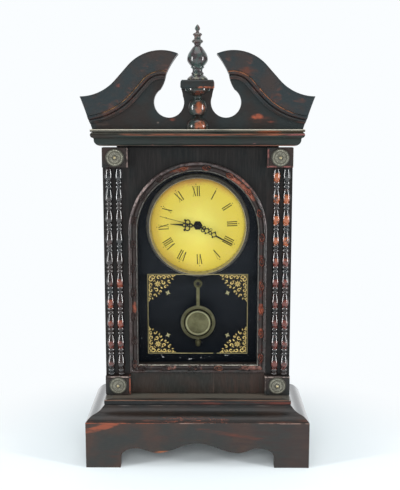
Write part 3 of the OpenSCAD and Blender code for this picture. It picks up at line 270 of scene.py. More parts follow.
def metal(name, light, dark, rough, seed, spin=None, size=3.0, tarnish=0.5, rings=(),
          metallic=1.0):
    """Aged metal: a bright and a tarnished tone in clouds, with fine turning or brushing lines.

    spin is the X and Z of an axis along Y round which the tool marks run, or a function
    that gives the distance from the nearest of several; rings are bands round it, each a
    radius, a half-width and a colour."""
    f = Finish(name)
    x, _, z = f.axes()
    cloud = f.noise(size * 4, 5, seed=seed, rough=0.6)
    speck = f.noise(size * 0.5, 3, seed=seed + 2)
    age = f.step(cloud * 0.7 + speck * 0.3, 0.36, 0.64) * tarnish
    marks = f.noise(size * 0.3, 2, (1, 0.3, 0.3), seed=seed + 4)
    base = f.mix(age, tone(light), tone(dark))
    if spin is not None:
        far = spin(x, z) if callable(spin) else distance(x, z, spin)
        marks = f.add("ShaderNodeTexNoise", {"noise_dimensions": "1D"},
                      {"W": far * 3.1, "Scale": 1.0, "Detail": 2.0}) * 0.7 + speck * 0.3
        base = f.layers(base, [(f.line(far, r, half, 0.5) * (1 - age * 0.4), code)
                               for r, half, code in rings])
    return f.skin(Base_Color=base, Metallic=metallic,
                  Roughness=rough + age * 0.22 + speck * 0.08,
                  Normal=f.bump(marks * 0.6 + speck * 0.4, 0.05))


def painted(name, light, dark, rough, seed, along=(1, 1, 1), depth=0.08, size=6.0):
    """A plain painted or moulded surface with faint clouds, specks and a fine texture."""
    f = Finish(name)
    cloud = f.noise(size * 6, 4, along, seed=seed)
    fine = f.noise(size * 0.25, 4, along, seed=seed + 2)
    base = f.mix(f.step(cloud * 0.6 + fine * 0.4, 0.36, 0.64), tone(dark), tone(light))
    return f.skin(Base_Color=base, Roughness=rough + (fine - 0.5) * 0.15,
                  Normal=f.bump(fine * 0.7 + cloud * 0.5, depth))


def dial_paint():
    """Printed yellow dial with mottling and a light middle; its rim is darker all round, and
    deeper yellow and brown at its left and top, as painted shadow of the bezel.
    """
    f = Finish("dial_paint")
    x, _, z = f.axes()
    far = distance(x, z, DIAL_AXIS)
    cloud = f.noise(22, 5, seed=4, rough=0.6)
    fine = f.noise(2.4, 4, seed=7)
    up = z - AT["dial_z"]
    wide = far + (cloud - 0.5) * 16
    # Painted shadow: the deeper yellow at the left, the brown at the top and the darker outer ring
    # stand for the bezel's shade on the rim.
    base = f.layers(f.mix(f.step(far + cloud * 30, 18, 70), tone("#fff074"), tone("#f6dc54")), [
        (f.step(cloud, 0.45, 0.7) * 0.4, "#fbe070"),
        (f.step(wide, 52, 68) * f.step(x, 20, -50) * 0.7, "#d9b040"),
        (f.step(wide, 57, 70) * f.step(up - abs(x) * 0.4, 5, 50) * 0.85, "#d8964a"),
        (f.step(far + (fine - 0.5) * 6, 66.5, 72) * 0.5, "#8d7c46"),
        (f.step(fine, 0.55, 0.75) * 0.15, "#d8b94e")])
    return f.skin(Base_Color=base, Roughness=0.42 + (fine - 0.5) * 0.1,
                  Normal=f.bump(fine * 0.5 + cloud * 0.3, 0.03))


def battery_wrap():
    """Printed metal sleeve: a blue body, a pale band near the plus end and plain ends."""
    f = Finish("battery_wrap")
    x = f.axes()[0]
    cloud = f.noise(6, 3, seed=3)
    base = f.layers(tone("#28406e"), [(f.line(x, 15.5, 2.6, 0.25), "#c9ccd0"),
                                      (f.step(abs(x), 23.4, 23.9), "#a9abad")])
    return f.skin(Base_Color=base, Metallic=0.75, Roughness=0.28 + cloud * 0.12,
                  Normal=f.bump(cloud, 0.03))


def window_glass():
    """Clear pane: see-through, with a mirror share that grows towards grazing."""
    f = Finish("window_glass")
    smear = f.noise(38, 4, seed=9)
    clear = f.add("ShaderNodeBsdfTransparent", None, {"Color": (0.96, 0.97, 0.97, 1)})
    shine = f.add("ShaderNodeBsdfPrincipled", None, {
        "Base Color": tone("#0a0d10"), "Roughness": 0.05 + smear * 0.05})
    share = f.add("ShaderNodeFresnel", None, {"IOR": 1.4}) * 0.6 + smear * 0.012
    f.close(f.add("ShaderNodeMixShader", None, {0: share, 1: clear, 2: shine}))
    return f.material


# Where the lacquer is rubbed through, after the worn places in the photo, and where light and
# shade are painted on it: highlights, reflections and shade in hollows. Each function gives
# layers of a mask and a colour: the numbers in a mask are places and widths in mm, or shares,
# and a layer's last factor is how strong it is.

def worn_skirt(f, x, y, z):
    """The top edge, a corner patch, slanting streaks and the apron's lip."""
    top, face = AT["cap_foot"], AT["base_front"]
    broken = f.step(f.noise(7, 3, (0.5, 1, 1), seed=2), 0.38, 0.56)
    edge = f.line(z, top - 0.3, 0.5, 0.8) * broken
    near = f.step(y, face + 26, face + 4)
    corner = f.line(z - x * 0.28, top + 31.5, 2.4, 4) * f.step(x, -106, -128) * near \
        + f.spot((-130, face, top - 3), (24, 6, 4))
    slant = f.line(z + x * 0.163, top - 9, 1.2, 4) * f.step(x, -14, 4) * f.step(x, 120, 80)
    haze = f.spot((-114, face, 21), (40, 6, 11)) + f.spot((-40, face, 42), (80, 6, 15)) * 0.6
    lip = f.spot((-47, face, 23.6), (24, 6, 3.4)) + f.spot((-84, face, 29), (14, 6, 4)) * 0.3
    return [(f.step(x, -70, 80) * 0.6, "#2e2523"), (haze * 0.5, "#46241b"),
            (slant * 0.5, "#542c21"), (edge * f.step(x, -20, -70), "#7d412c"),
            (edge * f.step(x, -70, -20) * 0.8, "#7a645b"), (corner * 0.85, "#773e2b"),
            (lip * 0.8, "#7d4a30")]


def cap_wear_and_light(f, x, y, z):
    """The cap moulding's scratched swell, a rub on its fillet over painted shade in the hollow
    round it, and its level top painted pale grey as a reflection of the backdrop, warmer along
    the outer edge.
    """
    foot, head = AT["cap_foot"], AT["cap_top"]
    inset = (y - AT["cap_face"]).least(AT["cap_side"] - abs(x))
    long = f.noise(20, 3, (0.4, 1, 4), seed=4)
    scratch = f.step(f.noise(2.4, 4, (0.4, 1, 1.5), seed=8, twist=1.5), 0.48, 0.62)
    fillet = f.line(z, head - 4, 1.7, 1.3) * f.step(x, -75, 15) * f.step(long, 0.3, 0.6, 0.4, 1)
    swell = f.step(z, foot + 11, foot + 3) * scratch * f.step(abs(x + 2), 92, 30)
    low = f.line(z, foot + 2, 1.4, 2.4) * f.step(long, 0.35, 0.65) * 0.6
    level = f.step(z, head - 0.6, head - 0.2)
    # Painted shade: the near-black band round the fillet. Painted reflection: the two colours of
    # the level top.
    return [(f.step(long, 0.45, 0.7) * f.step(z, foot + 14, foot + 3) * 0.3, "#3a2924"),
            (f.line(z, head - 4, 2.4, 0.8) * 1.4, "#0d0f10"),
            (fillet * 0.8, "#4c2016"), (low, "#522e23"), (swell * 0.75, "#6c3726"),
            (level * f.step(inset, 2.4, 1.0) * 0.8, "#7d5b49"),
            (level * f.step(inset, 1.4, 3.0) * 0.8, "#413d38"),
            (f.line(z, head - 7.6, 0.3, 0.4) * f.step(long, 0.4, 0.6) * 0.5, "#6b6461")]


def slope_top_reflection(f, x, y, z):
    """The level top of the side mouldings, painted pale grey as a reflection of the backdrop, as
    the deck beside it is.
    """
    head = AT["cap_top"]
    return [(f.step(z, head - 0.5, head - 0.1) * 1.6, "#524f48")]


def cornice_wear_and_light(f, x, y, z):
    """A painted highlight along the top edge, stronger at the front; the fillet under it lightened
    as painted light where it lies in shade; the rubbed bead and an orange stretch of the fillet.
    """
    top, foot = AT["cornice_top"], AT["cornice_foot"]
    long = f.noise(26, 4, (0.5, 1, 3), seed=6)
    bead = f.line(z, foot + 5.3, 0.9, 1.1) * f.step(x, -132, -100)
    bead = bead * f.step(long, 0.25, 0.55, 0.65, 1.05)
    right = f.step(x, 105, 140)
    # Painted light: the grey band over the fillet. Painted highlight: the pale top edge, the last
    # layer.
    return [(f.line(z, top - 3.5, 1.7, 1.2) * 0.8, "#3c3b35"),
            (f.step(x, -60, 40) * f.line(z, top - 3.5, 1.5, 1.2) * 0.45, "#332818"),
            (f.spot((99, AT["cornice_front"], top - 4), (28, 8, 3.6)) * 0.9, "#613520"),
            (bead * (1 - right) * 0.8, "#72402c"), (bead * right * 0.8, "#6c3e3d"),
            (f.step(z, top - 1.3, top - 0.8) * f.step(y, -5, -45, 0.4, 1.3), "#9c988a")]


def worn_bed(f, x, y, z):
    """The bed moulding's lower lip, with two pale chips."""
    foot = AT["bed_foot"]
    long = f.noise(22, 4, (0.6, 1, 3), seed=3)
    lip = f.line(z, foot + 0.7, 0.55, 0.6) * f.step(long, 0.3, 0.5, 0.7, 1)
    chips = f.spot((-63, -33, foot + 1.6), (3.4, 9, 1.6)) \
        + f.spot((80, -35, foot + 3.6), (5, 9, 1.8))
    return [(lip * f.step(x, 0, -40) * 0.8, "#5d5149"), (lip * f.step(x, -40, 0), "#775144"),
            (chips, "#8c5e5b")]


def worn_tympanum(f, x, y, z):
    """An orange rub at the right and small marks at the left of the pediment board."""
    face, top = AT["board_face"], AT["cornice_top"]
    return f.spots([((92, face, top + 13), (34, 5, 9), 0.45, "#44271e"),
                    ((84, face, top + 17.5), (13, 5, 6.5), 0.72, "#82412b"),
                    ((102, face, top + 11), (8, 5, 3.4), 0.75, "#693224"),
                    ((-35, face, top + 13.5), (7, 5, 4), 0.6, "#582b20"),
                    ((-56, face, top + 8.6), (3, 5, 3), 0.7, "#6a5d55"),
                    ((-135, face, top + 8), (20, 5, 6), 0.5, "#40342e")])


# A scroll's top edge, as on the solid: the swell's arc turns by TURN into a straight slope,
# which runs into the hollow's arc. The centres are at X and Z.
SWELL = (50.0, AT["cornice_top"] + 46.1)
SWELL_R = 62.0
HOLLOW_R = 67.0
SLOPE = 27.0
TURN = math.radians(42)
HOLLOW = (SWELL[0] + (SWELL_R + HOLLOW_R) * math.cos(TURN) + SLOPE * math.sin(TURN),
          SWELL[1] + (SWELL_R + HOLLOW_R) * math.sin(TURN) - SLOPE * math.cos(TURN))


def scroll_depth(f, x, z):
    """Distance in from a scroll's top edge: a radius less the distance from the swell's
    centre, then from the slope's line, then the distance from the hollow's less its radius."""
    side, up = abs(x) - SWELL[0], z - SWELL[1]
    along = side * math.sin(TURN) - up * math.cos(TURN)
    swell = SWELL_R - distance(abs(x), z, SWELL)
    slope = SWELL_R - side * math.cos(TURN) - up * math.sin(TURN)
    hollow = distance(abs(x), z, HOLLOW) - HOLLOW_R
    past, low = f.step(along, -0.1, 0.1), f.step(along, SLOPE - 0.1, SLOPE + 0.1)
    return swell * (1 - past) + slope * past * (1 - low) + hollow * low


def worn_crown(f, x, y, z):
    """Thin rubbed lines on the beads, brown clouds above them and a few spots."""
    depth = scroll_depth(f, x, z)
    right = f.step(x, -5, 5)
    line = f.line(depth, 27.9, 0.45, 0.75) * f.step(abs(x), 143, 128)
    clouds = f.step(f.noise(15, 4, (0.7, 1, 1.2), seed=8), 0.5, 0.66) * f.step(depth, 2, 6)
    shade = f.spot((67, -42, 563), (24, 12, 13)) + f.spot((108, -40, 528), (16, 12, 12)) * 0.5
    inner = f.spot((-42, -40, 563), (6, 14, 13)) * f.step(abs(x), 47, 44)
    return [(clouds * 0.9, "#3e2c28"), (shade * 1.1, "#46281e"),
            (f.line(depth, 31.4, 0.8, 1.0) * 0.5, "#381b14"),
            (line * right * 0.85, "#7a513a"), (line * (1 - right) * 0.8, "#6d5134"),
            (f.spot((-75.6, -40, 555), (3.2, 8, 3.2)) * line, "#a48c5b"),
            (f.line(depth, 35.6, 0.3, 0.6) * 0.45, "#4a4744"),
            (f.spot((-110, -43, 545), (6, 8, 5)) * 0.7, "#693529"), (inner * 0.7, "#60403a")]


def worn_spindle(f, x, y, z):
    """The ball, bell and cone of the split spindle, rubbed on their right-hand fronts."""
    top = AT["cornice_top"]
    return f.spots([((4.5, -43, top + 29.5), (12, 12, 14), 1.1, "#7b4024"),
                    ((5, -44, top + 5), (13, 13, 12), 1.1, "#7d462e"),
                    ((3, -42, top + 50), (13, 14, 7), 0.8, "#582f23")])


def capital_wear_and_highlight(f, x, y, z):
    """A painted highlight down the capital block's right edge, and a rub on its lower edge."""
    foot = AT["capital_foot"]
    # Painted highlight: the greyish-pink right edge.
    return [(f.step(x, 21.4, 23.2) * 0.7, "#6c554f"),
            (f.line(z, foot + 1.4, 0.8, 1.2) * f.step(x, -4, 6) * 0.8, "#7d442f")]


def finial_wear_and_highlight(f, x, y, z):
    """The finial's small collars and tip, rubbed, and a painted highlight, broken up, on its
    skirt.
    """
    top = AT["capital_top"]
    # Painted highlight: the pale cream layer on the skirt.
    return [(f.step(z, top + 47, top + 52) * 0.45, "#604640"),
            (f.line(z, top + 4.5, 3.5, 1.5) * f.step(f.noise(4, 3), 0.4, 0.6) * 0.6, "#7c7c6a")]


COLUMN_PITCH = 14.2
BUDS = 10


def worn_columns(f, x, y, z):
    """The fat part of each bud, by chance: orange high on the right, red-brown elsewhere.

    A bud's number and a column's are whole heights and widths; white noise of the two is the
    chance. The top half on the left and one bud at the upper right stay dark."""
    foot = AT["column_foot"]
    buds = (z - foot) / ((AT["column_top"] - foot) / BUDS)
    phase, number = buds.rest(), buds.whole()
    column = (x / COLUMN_PITCH + 0.5).whole()
    aside = abs(x / COLUMN_PITCH - column) * COLUMN_PITCH
    chance = f.add("ShaderNodeTexWhiteNoise", {"noise_dimensions": "2D"},
                   {"Vector": f.add("ShaderNodeCombineXYZ", None, {0: number, 1: column})})
    right, high = f.step(x, -20, 20), f.step(z, foot + 150, foot + 215)
    low = f.step(z, foot + 210, foot + 120) * f.step(z, foot + 10, foot + 34)
    some = f.step(chance + right * 0.55 + low * 0.5, 0.42, 1.12)
    dark = f.step(z, foot + 185, foot + 215) * (1 - right) \
        + f.step(number, 8.4, 8.6) * f.step(column, 8.4, 8.6)
    fat = f.line(phase, 0.53, 0.1, 0.2) * f.step(abs(aside - 0.8), 4.6, 2.0) * (1 - dark)
    left_low = low * f.step(z, foot + 60, foot + 90) * (1 - right)
    return [(fat * some * (1 - right * high), "#58241a"), (fat * some * left_low, "#743218"),
            (fat * some * right * high * 1.3, "#8c4a26"),
            (f.line(phase, 0.99, 0.05, 0.1) * right * 0.35, "#471e17")]


BEAD_ASIDE = 17.2
BEAD_UP = 12.7


def worn_blocks(f, x, y, z):
    """Bead lines on the corner blocks' two inner edges, BEAD_ASIDE and BEAD_UP from the
    rosettes' middles."""
    high, low = AT["high_rosette"] - BEAD_UP, AT["low_rosette"] + BEAD_UP
    rough = f.step(f.noise(7, 3, seed=3), 0.32, 0.55, 0.45, 1.0)
    right, upper = f.step(x, -5, 5), f.step(z, 200, 300)
    inner = f.line(abs(x), AT["rosette_x"] - BEAD_ASIDE, 1.0, 0.4) * rough
    shelf = (f.line(z, high, 0.9, 0.4) * right + f.line(z, low, 0.9, 0.4)) * rough
    return [((inner + shelf).least(1.0) * right * upper, "#6a413d"),
            (inner * (1 - right) * upper, "#635551"),
            (inner * (1 - right) * (1 - upper), "#703a29"),
            ((shelf + inner * right * 0.4) * (1 - upper), "#7a6d67")]


def worn_panel(f, x, y, z):
    """The glued joint over the arch."""
    return [(f.line(x, 0, 0.35, 0.5) * 0.5, "#282524"),
            (f.line(abs(x), 1.2, 0.3, 0.5) * 0.3, "#474543")]


def worn_rail(f, x, y, z):
    """A brown haze on the right of the door's bottom rail, and its shrinkage crack."""
    return [(f.step(x, -30, 60) * 0.55, "#332520"),
            (f.line(x, 23.7, 0.3, 0.4) * 0.5, "#52443d")]


def moulding_out(f, x, z):
    """Distance out from the window's edge on the moulding round it."""
    far = distance(x, z, (0, AT["spring_z"]))
    arch = f.step(z, AT["spring_z"] - 0.01, AT["spring_z"] + 0.01)
    sill = (AT["sill_z"] - z).most(abs(x) - AT["window_r"])
    return (far - AT["window_r"]) * arch + sill * (1 - arch)


def carving_wear_and_highlight(f, x, y, z):
    """Rubbed lozenges, a pale inner lip, a painted highlight along the outer roll and a painted
    sheen at the arch's upper left, the orange stretches of the arch and a red haze.
    """
    def at(across, up, wide, high):
        return f.spot((across, AT["door_face"] - 5, up), (wide, 14, high))
    out = moulding_out(f, x, z)
    spring, sill = AT["spring_z"], AT["sill_z"]
    roll = f.line(out, 10.9, 1.1, 0.9)
    band = f.line(out, 4.9, 2.9, 0.6)
    lip = f.line(out, 0.9, 0.75, 0.25)
    raised = f.add("ShaderNodeAttribute", {"attribute_name": "raised"}, None, "Fac")
    arch = f.step(z, spring - 10, spring + 20)
    foot = f.step(z, sill + 2, sill - 2)
    right = f.step(x, -10, 10)
    rubs = f.step(f.noise(13, 4, seed=12), 0.46, 0.62)
    run_right = at(63, spring + 71, 32, 27).most(at(80, spring + 57, 16, 18))
    run_left = at(-33, spring + 94, 32, 12)
    # A painted sheen: the pale patch at the upper left of the arch
    pale = at(-80, spring + 57, 27, 40)
    leg = AT["window_r"] + 5
    patches = at(leg, 223, 9, 14) + at(leg, 188, 8, 12) * 0.6 \
        + at(leg, 260, 8, 12) * 0.5 + at(-leg, 225, 8, 14) * 0.6
    ridges = 0.3 + right * 0.6 * f.step(rubs, 0, 1, 0.75, 1)
    # Painted highlight: the roll's two layers, stronger on the arch, and its pale patch
    return [(band * 0.9, "#201816"), (band * patches * 1.1, "#84422c"),
            (lip * 0.85, "#494945"), (lip * foot, "#807d72"),
            (roll * (0.35 + arch * 0.3), "#524949"), (roll * pale, "#80706c"),
            (band * rubs * (0.25 + right * 0.35) * (1 - arch), "#522117"),
            (raised * (1 - foot) * ridges, "#703724"),
            (raised * at(29, sill - 6, 14, 10), "#724938"),
            (band.most(roll * 0.5) * run_right, "#7b4635"),
            (band * run_left * 1.1, "#693b29"), (band * foot * rubs * 0.7, "#704f46")]


# Stretch of the noise: threads of wear that run upright, or level from side to side
UPRIGHT = (1, 1, 0.06)
LEVEL = (0.06, 1, 1)

LACQUERS = {
    "skirt_lacquer": dict(wear_and_light=worn_skirt, edge=0.5, along=(0.14, 1, 1), gloss=0.46, seed=2,
                          dark="#242625", brown="#372822", grain=0.12, shine=0.35),
    "cap_lacquer": dict(wear_and_light=cap_wear_and_light, edge=0.4, along=(0.12, 1, 1), gloss=0.34, seed=5,
                        coat=0.2, dark="#121414", brown="#1f1713", grain=0.1),
    "slope_lacquer": dict(wear_and_light=slope_top_reflection, edge=0.3, gloss=0.2, coat=0.8, seed=7,
                          dark="#2a2f31", brown="#332e2c", shine=0.8),
    # Painted reflection: the deck's pale grey all over stands for the backdrop mirrored in its
    # level top
    "deck_reflection_lacquer": dict(edge=0.0, along=(0.12, 1, 1), gloss=0.5, seed=6, dark="#56534b",
                         brown="#5a5148", grain=0.2),
    "case_lacquer": dict(edge=0.4, along=UPRIGHT, gloss=0.34, seed=8, grain=0.2),
    "cornice_lacquer": dict(wear_and_light=cornice_wear_and_light, edge=0.2, along=LEVEL, gloss=0.3, seed=11,
                            dark="#19221f", brown="#1f1b16", grain=0.1),
    "bed_lacquer": dict(wear_and_light=worn_bed, edge=0.15, along=LEVEL, gloss=0.32, seed=13,
                        dark="#18211e", brown="#1b1d1c", grain=0.1),
    "pediment_lacquer": dict(wear_and_light=worn_tympanum, edge=0.15, along=(0.3, 1, 1), gloss=0.4,
                             seed=15, dark="#1a2122", brown="#1f1a18", grain=0.08),
    "crown_lacquer": dict(wear_and_light=worn_crown, edge=0.15, along=(0.5, 1, 1), gloss=0.34, seed=17,
                          dark="#1b2427", brown="#2a2321", grain=0.12, cloud_size=30),
    "capital_lacquer": dict(wear_and_light=capital_wear_and_highlight, edge=0.25, gloss=0.3, seed=19, dark="#1e2829"),
    "spindle_lacquer": dict(wear_and_light=worn_spindle, edge=0.0, gloss=0.2, coat=0.7, seed=21,
                            dark="#232d2b", cloud_size=9),
    "finial_lacquer": dict(wear_and_light=finial_wear_and_highlight, edge=0.1, gloss=0.24, coat=0.7, seed=23,
                           dark="#33423f", brown="#332b2d", cloud_size=9),
    "panel_lacquer": dict(wear_and_light=worn_panel, edge=0.15, along=UPRIGHT, gloss=0.45, seed=25,
                          dark="#0b0f10", brown="#0f0e0e", grain=0.12, shine=0.25),
    "stile_lacquer": dict(edge=0.12, along=UPRIGHT, gloss=0.42, seed=26, dark="#0d0e0e",
                          brown="#15100f", grain=0.1),
    "rail_lacquer": dict(wear_and_light=worn_rail, edge=0.15, along=(1, 1, 0.12), gloss=0.42, seed=27,
                         dark="#191a17", brown="#231b16", grain=0.2),
    "block_lacquer": dict(wear_and_light=worn_blocks, edge=0.15, gloss=0.36, seed=29, dark="#1c2020",
                          brown="#2a211e"),
    "column_lacquer": dict(wear_and_light=worn_columns, edge=0.0, gloss=0.12, coat=1.0, seed=31,
                           dark="#15191a", brown="#1e1614", shine=0.5),
    "carving_lacquer": dict(wear_and_light=carving_wear_and_highlight, edge=0.0, gloss=0.28, coat=0.25, seed=33,
                            dark="#222322", brown="#2c2220", cloud_size=18),
}


def boss_distance(x, z):
    """Distance from the axis of the nearest of the four rosettes."""
    up = abs(z - AT["low_rosette"]).least(abs(z - AT["high_rosette"]))
    return distance(abs(x), up, (AT["rosette_x"], 0))


# Bands on the turned brass, each a radius, a half-width and a colour. On the bezel, the bob
# and the rosette bosses they are painted light and shade: pale bands for highlights on rims and
# knobs, dark ones for shade in grooves.
BEZEL_RINGS = ((70.4, 0.5, "#a8a087"), (72.2, 0.3, "#3c362e"), (74.6, 0.9, "#b4afa3"))
BOB_RINGS = ((25.6, 0.8, "#b3ae8c"), (20.7, 1.1, "#2a281c"), (17.8, 1.0, "#e8e4be"))
NUT_RINGS = ((0.0, 1.2, "#a39c7c"), (3.0, 0.4, "#6e684c"))
BOSS_RINGS = ((0.0, 1.5, "#b8aa82"), (3.4, 0.3, "#55564a"), (8.4, 0.4, "#55564a"),
              (12.4, 0.7, "#33342d"))

METALS = {
    "bezel_brass": dict(light="#aea696", dark="#7a7264", rough=0.2, seed=2, spin=DIAL_AXIS,
                        rings=BEZEL_RINGS, metallic=0.25),
    "pendulum_brass": dict(light="#8f8a66", dark="#565438", rough=0.3, seed=6, spin=BOB_AXIS,
                           size=2.4, tarnish=0.6, rings=BOB_RINGS, metallic=0.7),
    "rosette_brass": dict(light="#989688", dark="#50514a", rough=0.34, seed=9, size=0.8,
                          spin=boss_distance, tarnish=0.7, rings=BOSS_RINGS, metallic=0.6),
    "hinge_brass": dict(light="#c0a35c", dark="#7c6636", rough=0.24, seed=12),
    "nut_brass": dict(light="#2c2820", dark="#17150f", rough=0.3, seed=15, spin=DIAL_AXIS,
                      size=1.0, tarnish=0.4, rings=NUT_RINGS, metallic=0.4),
    "steel": dict(light="#b4b6b8", dark="#7e8082", rough=0.28, seed=14),
    "gilding": dict(light="#dac27a", dark="#a68e4c", rough=0.36, seed=16, size=1.2,
                    tarnish=0.6, metallic=0.35),
    "gilt_line": dict(light="#968c60", dark="#6c6340", rough=0.4, seed=18, size=1.6,
                      tarnish=0.6, metallic=0.35),
    "pale_gilding": dict(light="#aca67c", dark="#767250", rough=0.4, seed=19, size=1.0,
                         metallic=0.35),
}

PAINTS = {
    "back_paint": dict(light="#1a2029", dark="#12161d", rough=0.6, seed=3, along=LEVEL),
    "inner_paint": dict(light="#171d27", dark="#11161e", rough=0.55, seed=5, along=UPRIGHT),
    "bead_paint": dict(light="#1b1c1d", dark="#101112", rough=0.5, seed=6, along=UPRIGHT),
    "black_metal": dict(light="#171614", dark="#0c0c0c", rough=0.36, seed=7, depth=0.02,
                        size=2.0),
    "black_plastic": dict(light="#26282a", dark="#1c1d1f", rough=0.48, seed=9, depth=0.05,
                          size=1.4),
    "dial_ink": dict(light="#423d1e", dark="#2a2610", rough=0.5, seed=11, depth=0.01,
                     size=1.5),
    "chipped_paint": dict(light="#a4a6a6", dark="#6c6f6f", rough=0.6, seed=13, depth=0.02,
                          size=0.8),
}

FINISHES = {name: make(name, **kind)
            for make, kinds in ((lacquer, LACQUERS), (metal, METALS), (painted, PAINTS))
            for name, kind in kinds.items()}
FINISHES.update(dial_paint=dial_paint(), battery_wrap=battery_wrap(),
                window_glass=window_glass())

WEARS = {
    "skirt_lacquer": ["base_front_skirt", "base_left_skirt", "base_right_skirt"],
    "cap_lacquer": ["base_moulding_front"],
    "slope_lacquer": ["base_moulding_left", "base_moulding_right"],
    "case_lacquer": ["case_left_side", "case_right_side"],
    "cornice_lacquer": ["cornice_board"],
    "bed_lacquer": ["cornice_moulding_front", "cornice_moulding_left",
                    "cornice_moulding_right"],
    "pediment_lacquer": ["tympanum"],
    "crown_lacquer": ["crown_moulding_left", "crown_moulding_right"],
    "capital_lacquer": ["capital_block"],
    "spindle_lacquer": ["split_spindle"],
    "finial_lacquer": ["finial"],
    "stile_lacquer": ["door_left_stile", "door_right_stile"],
    "panel_lacquer": ["door_panel_left", "door_panel_right"],
    "rail_lacquer": ["door_bottom_rail"],
    "block_lacquer": ["corner_blocks"],
    "column_lacquer": ["columns_left", "columns_right"],
    "back_paint": ["base_back_rail", "back_panel", "back_door"],
    "deck_reflection_lacquer": ["base_deck"],
    "inner_paint": ["case_top", "dial_board"],
    "bead_paint": ["glazing_beads"],
    "bezel_brass": ["bezel"],
    "pendulum_brass": ["pendulum_rod", "pendulum_bob", "rating_nut"],
    "hinge_brass": ["door_hinge_leaves", "case_hinge_leaves", "hinge_pins",
                    "back_door_hinge_leaves", "turn_button"],
    "steel": ["strike_plate", "turn_button_screw"],
    "black_metal": ["hour_hand", "minute_hand", "second_hand", "pendulum_hanger"],
    "nut_brass": ["dial_nut"],
    "black_plastic": ["movement_housing", "set_knob", "magnetic_catch"],
    "dial_paint": ["dial"],
    "battery_wrap": ["battery"],
    "window_glass": ["door_glass"],
}

for finish_name, wearers in WEARS.items():
    for wearer in wearers:
        mesh = nodes[wearer].data
        mesh.materials.clear()
        mesh.materials.append(FINISHES[finish_name])
        mesh.polygons.foreach_set("material_index", np.zeros(len(mesh.polygons), np.int32))


# ------------------------------------------------------------------ new pieces

def piece(name, parts, finish, body, crease=None, raised=None):
    """One mesh from parts, each a pair (points N x 3 in mm, list of faces), riding on body.

    Edges that turn by more than crease degrees stay sharp, and all do where it is None.
    raised holds an array for each part, kept as the attribute that the carving's finish reads."""
    points, faces, start = [], [], 0
    for spots, polys in parts:
        points.append(np.asarray(spots, float))
        faces += [tuple(i + start for i in poly) for poly in polys]
        start += len(spots)
    mesh = bpy.data.meshes.new(name)
    mesh.from_pydata((np.concatenate(points) * MM).tolist(), [], faces)
    mesh.validate()
    if crease is None:
        mesh.shade_flat()
    else:
        mesh.shade_smooth()
        mesh.set_sharp_from_angle(angle=math.radians(crease))
    if raised is not None:
        mesh.attributes.new("raised", "FLOAT", "POINT").data.foreach_set(
            "value", np.concatenate(raised).astype(np.float32))
    mesh.materials.append(FINISHES[finish])
    made = bpy.data.objects.new(name, mesh)
    bpy.context.scene.collection.objects.link(made)
    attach(made, body)
    return made


def plate(outline, y0, y1):
    """A flat shape between depths y0 and y1, from its outline in X and Z. The outline is
    turned round where its signed area is negative, so that the faces look outwards."""
    outline = np.asarray(outline, float)
    n = len(outline)
    area = np.sum(outline[:, 0] * np.roll(outline[:, 1], -1)
                  - outline[:, 1] * np.roll(outline[:, 0], -1))
    if area < 0:
        outline = outline[::-1]
    spots = np.concatenate([np.insert(outline, 1, y, axis=1) for y in (y0, y1)])
    sides = [(i, i + n, (i + 1) % n + n, (i + 1) % n) for i in range(n)]
    return spots, [tuple(range(n)), tuple(range(2 * n - 1, n - 1, -1)), *sides]


def ribbon(path, widths, y0, y1):
    """A flat strip along path in X and Z: each point is set off to both sides, square to
    the path's gradient, by half the width that widths gives there."""
    path = np.asarray(path, float)
    ahead = np.gradient(path, axis=0)
    ahead /= np.linalg.norm(ahead, axis=1)[:, None]
    aside = np.stack([-ahead[:, 1], ahead[:, 0]], 1) * np.asarray(widths, float)[:, None] / 2
    n = len(path)
    left, right = path + aside, path - aside
    flat = np.concatenate([left, right])
    spots = np.concatenate([np.insert(flat, 1, y, axis=1) for y in (y0, y1)])
    faces = [(i, i + n, i + n + 1, i + 1) for i in range(n - 1)]
    faces += [tuple(2 * n + j for j in reversed(face)) for face in faces]
    rim = list(range(n)) + list(range(2 * n - 1, n - 1, -1))
    faces += [(rim[i], rim[(i + 1) % len(rim)], rim[(i + 1) % len(rim)] + 2 * n,
               rim[i] + 2 * n) for i in range(len(rim))]
    return spots, faces


def sweep(rings):
    """A closed skin over rings, an S x K x 3 grid of closed profiles: a quad between each
    two neighbours of two rings, and a flat end on the first and the last."""
    s, k = rings.shape[:2]
    i, j = np.meshgrid(np.arange(s - 1), np.arange(k), indexing="ij")
    a, b = i * k + j, i * k + (j + 1) % k
    quads = np.stack([a, b, b + k, a + k], -1).reshape(-1, 4)
    ends = [tuple(range(k - 1, -1, -1)), tuple(range((s - 1) * k, s * k))]
    return rings.reshape(-1, 3), [*map(tuple, quads.tolist()), *ends]


LOZENGE_PITCH = 35.8
LOZENGE_FROM = 13.0  # from the apex to the first lozenge at its right
SILL_FROM = -16.3  # shifts the sill's lozenges along it
LOZENGE_HALF = 6.4
LOZENGE_OUT = 5.6
LOZENGE_WIDE = 4.2
LOZENGE_DEEP = 0.6  # height of the field, and of its ribbons over it, in moulding heights
LOZENGE_RISE = 0.26
REED_DEEP = 0.35
MOULDING_W = AT["arch_out"] - AT["window_r"]
MOULDING_T = AT["moulding_t"]
PROFILE_STEPS = 34
ARCH_STEPS = 841
SILL_STEPS = 481
LEG_STEPS = 561


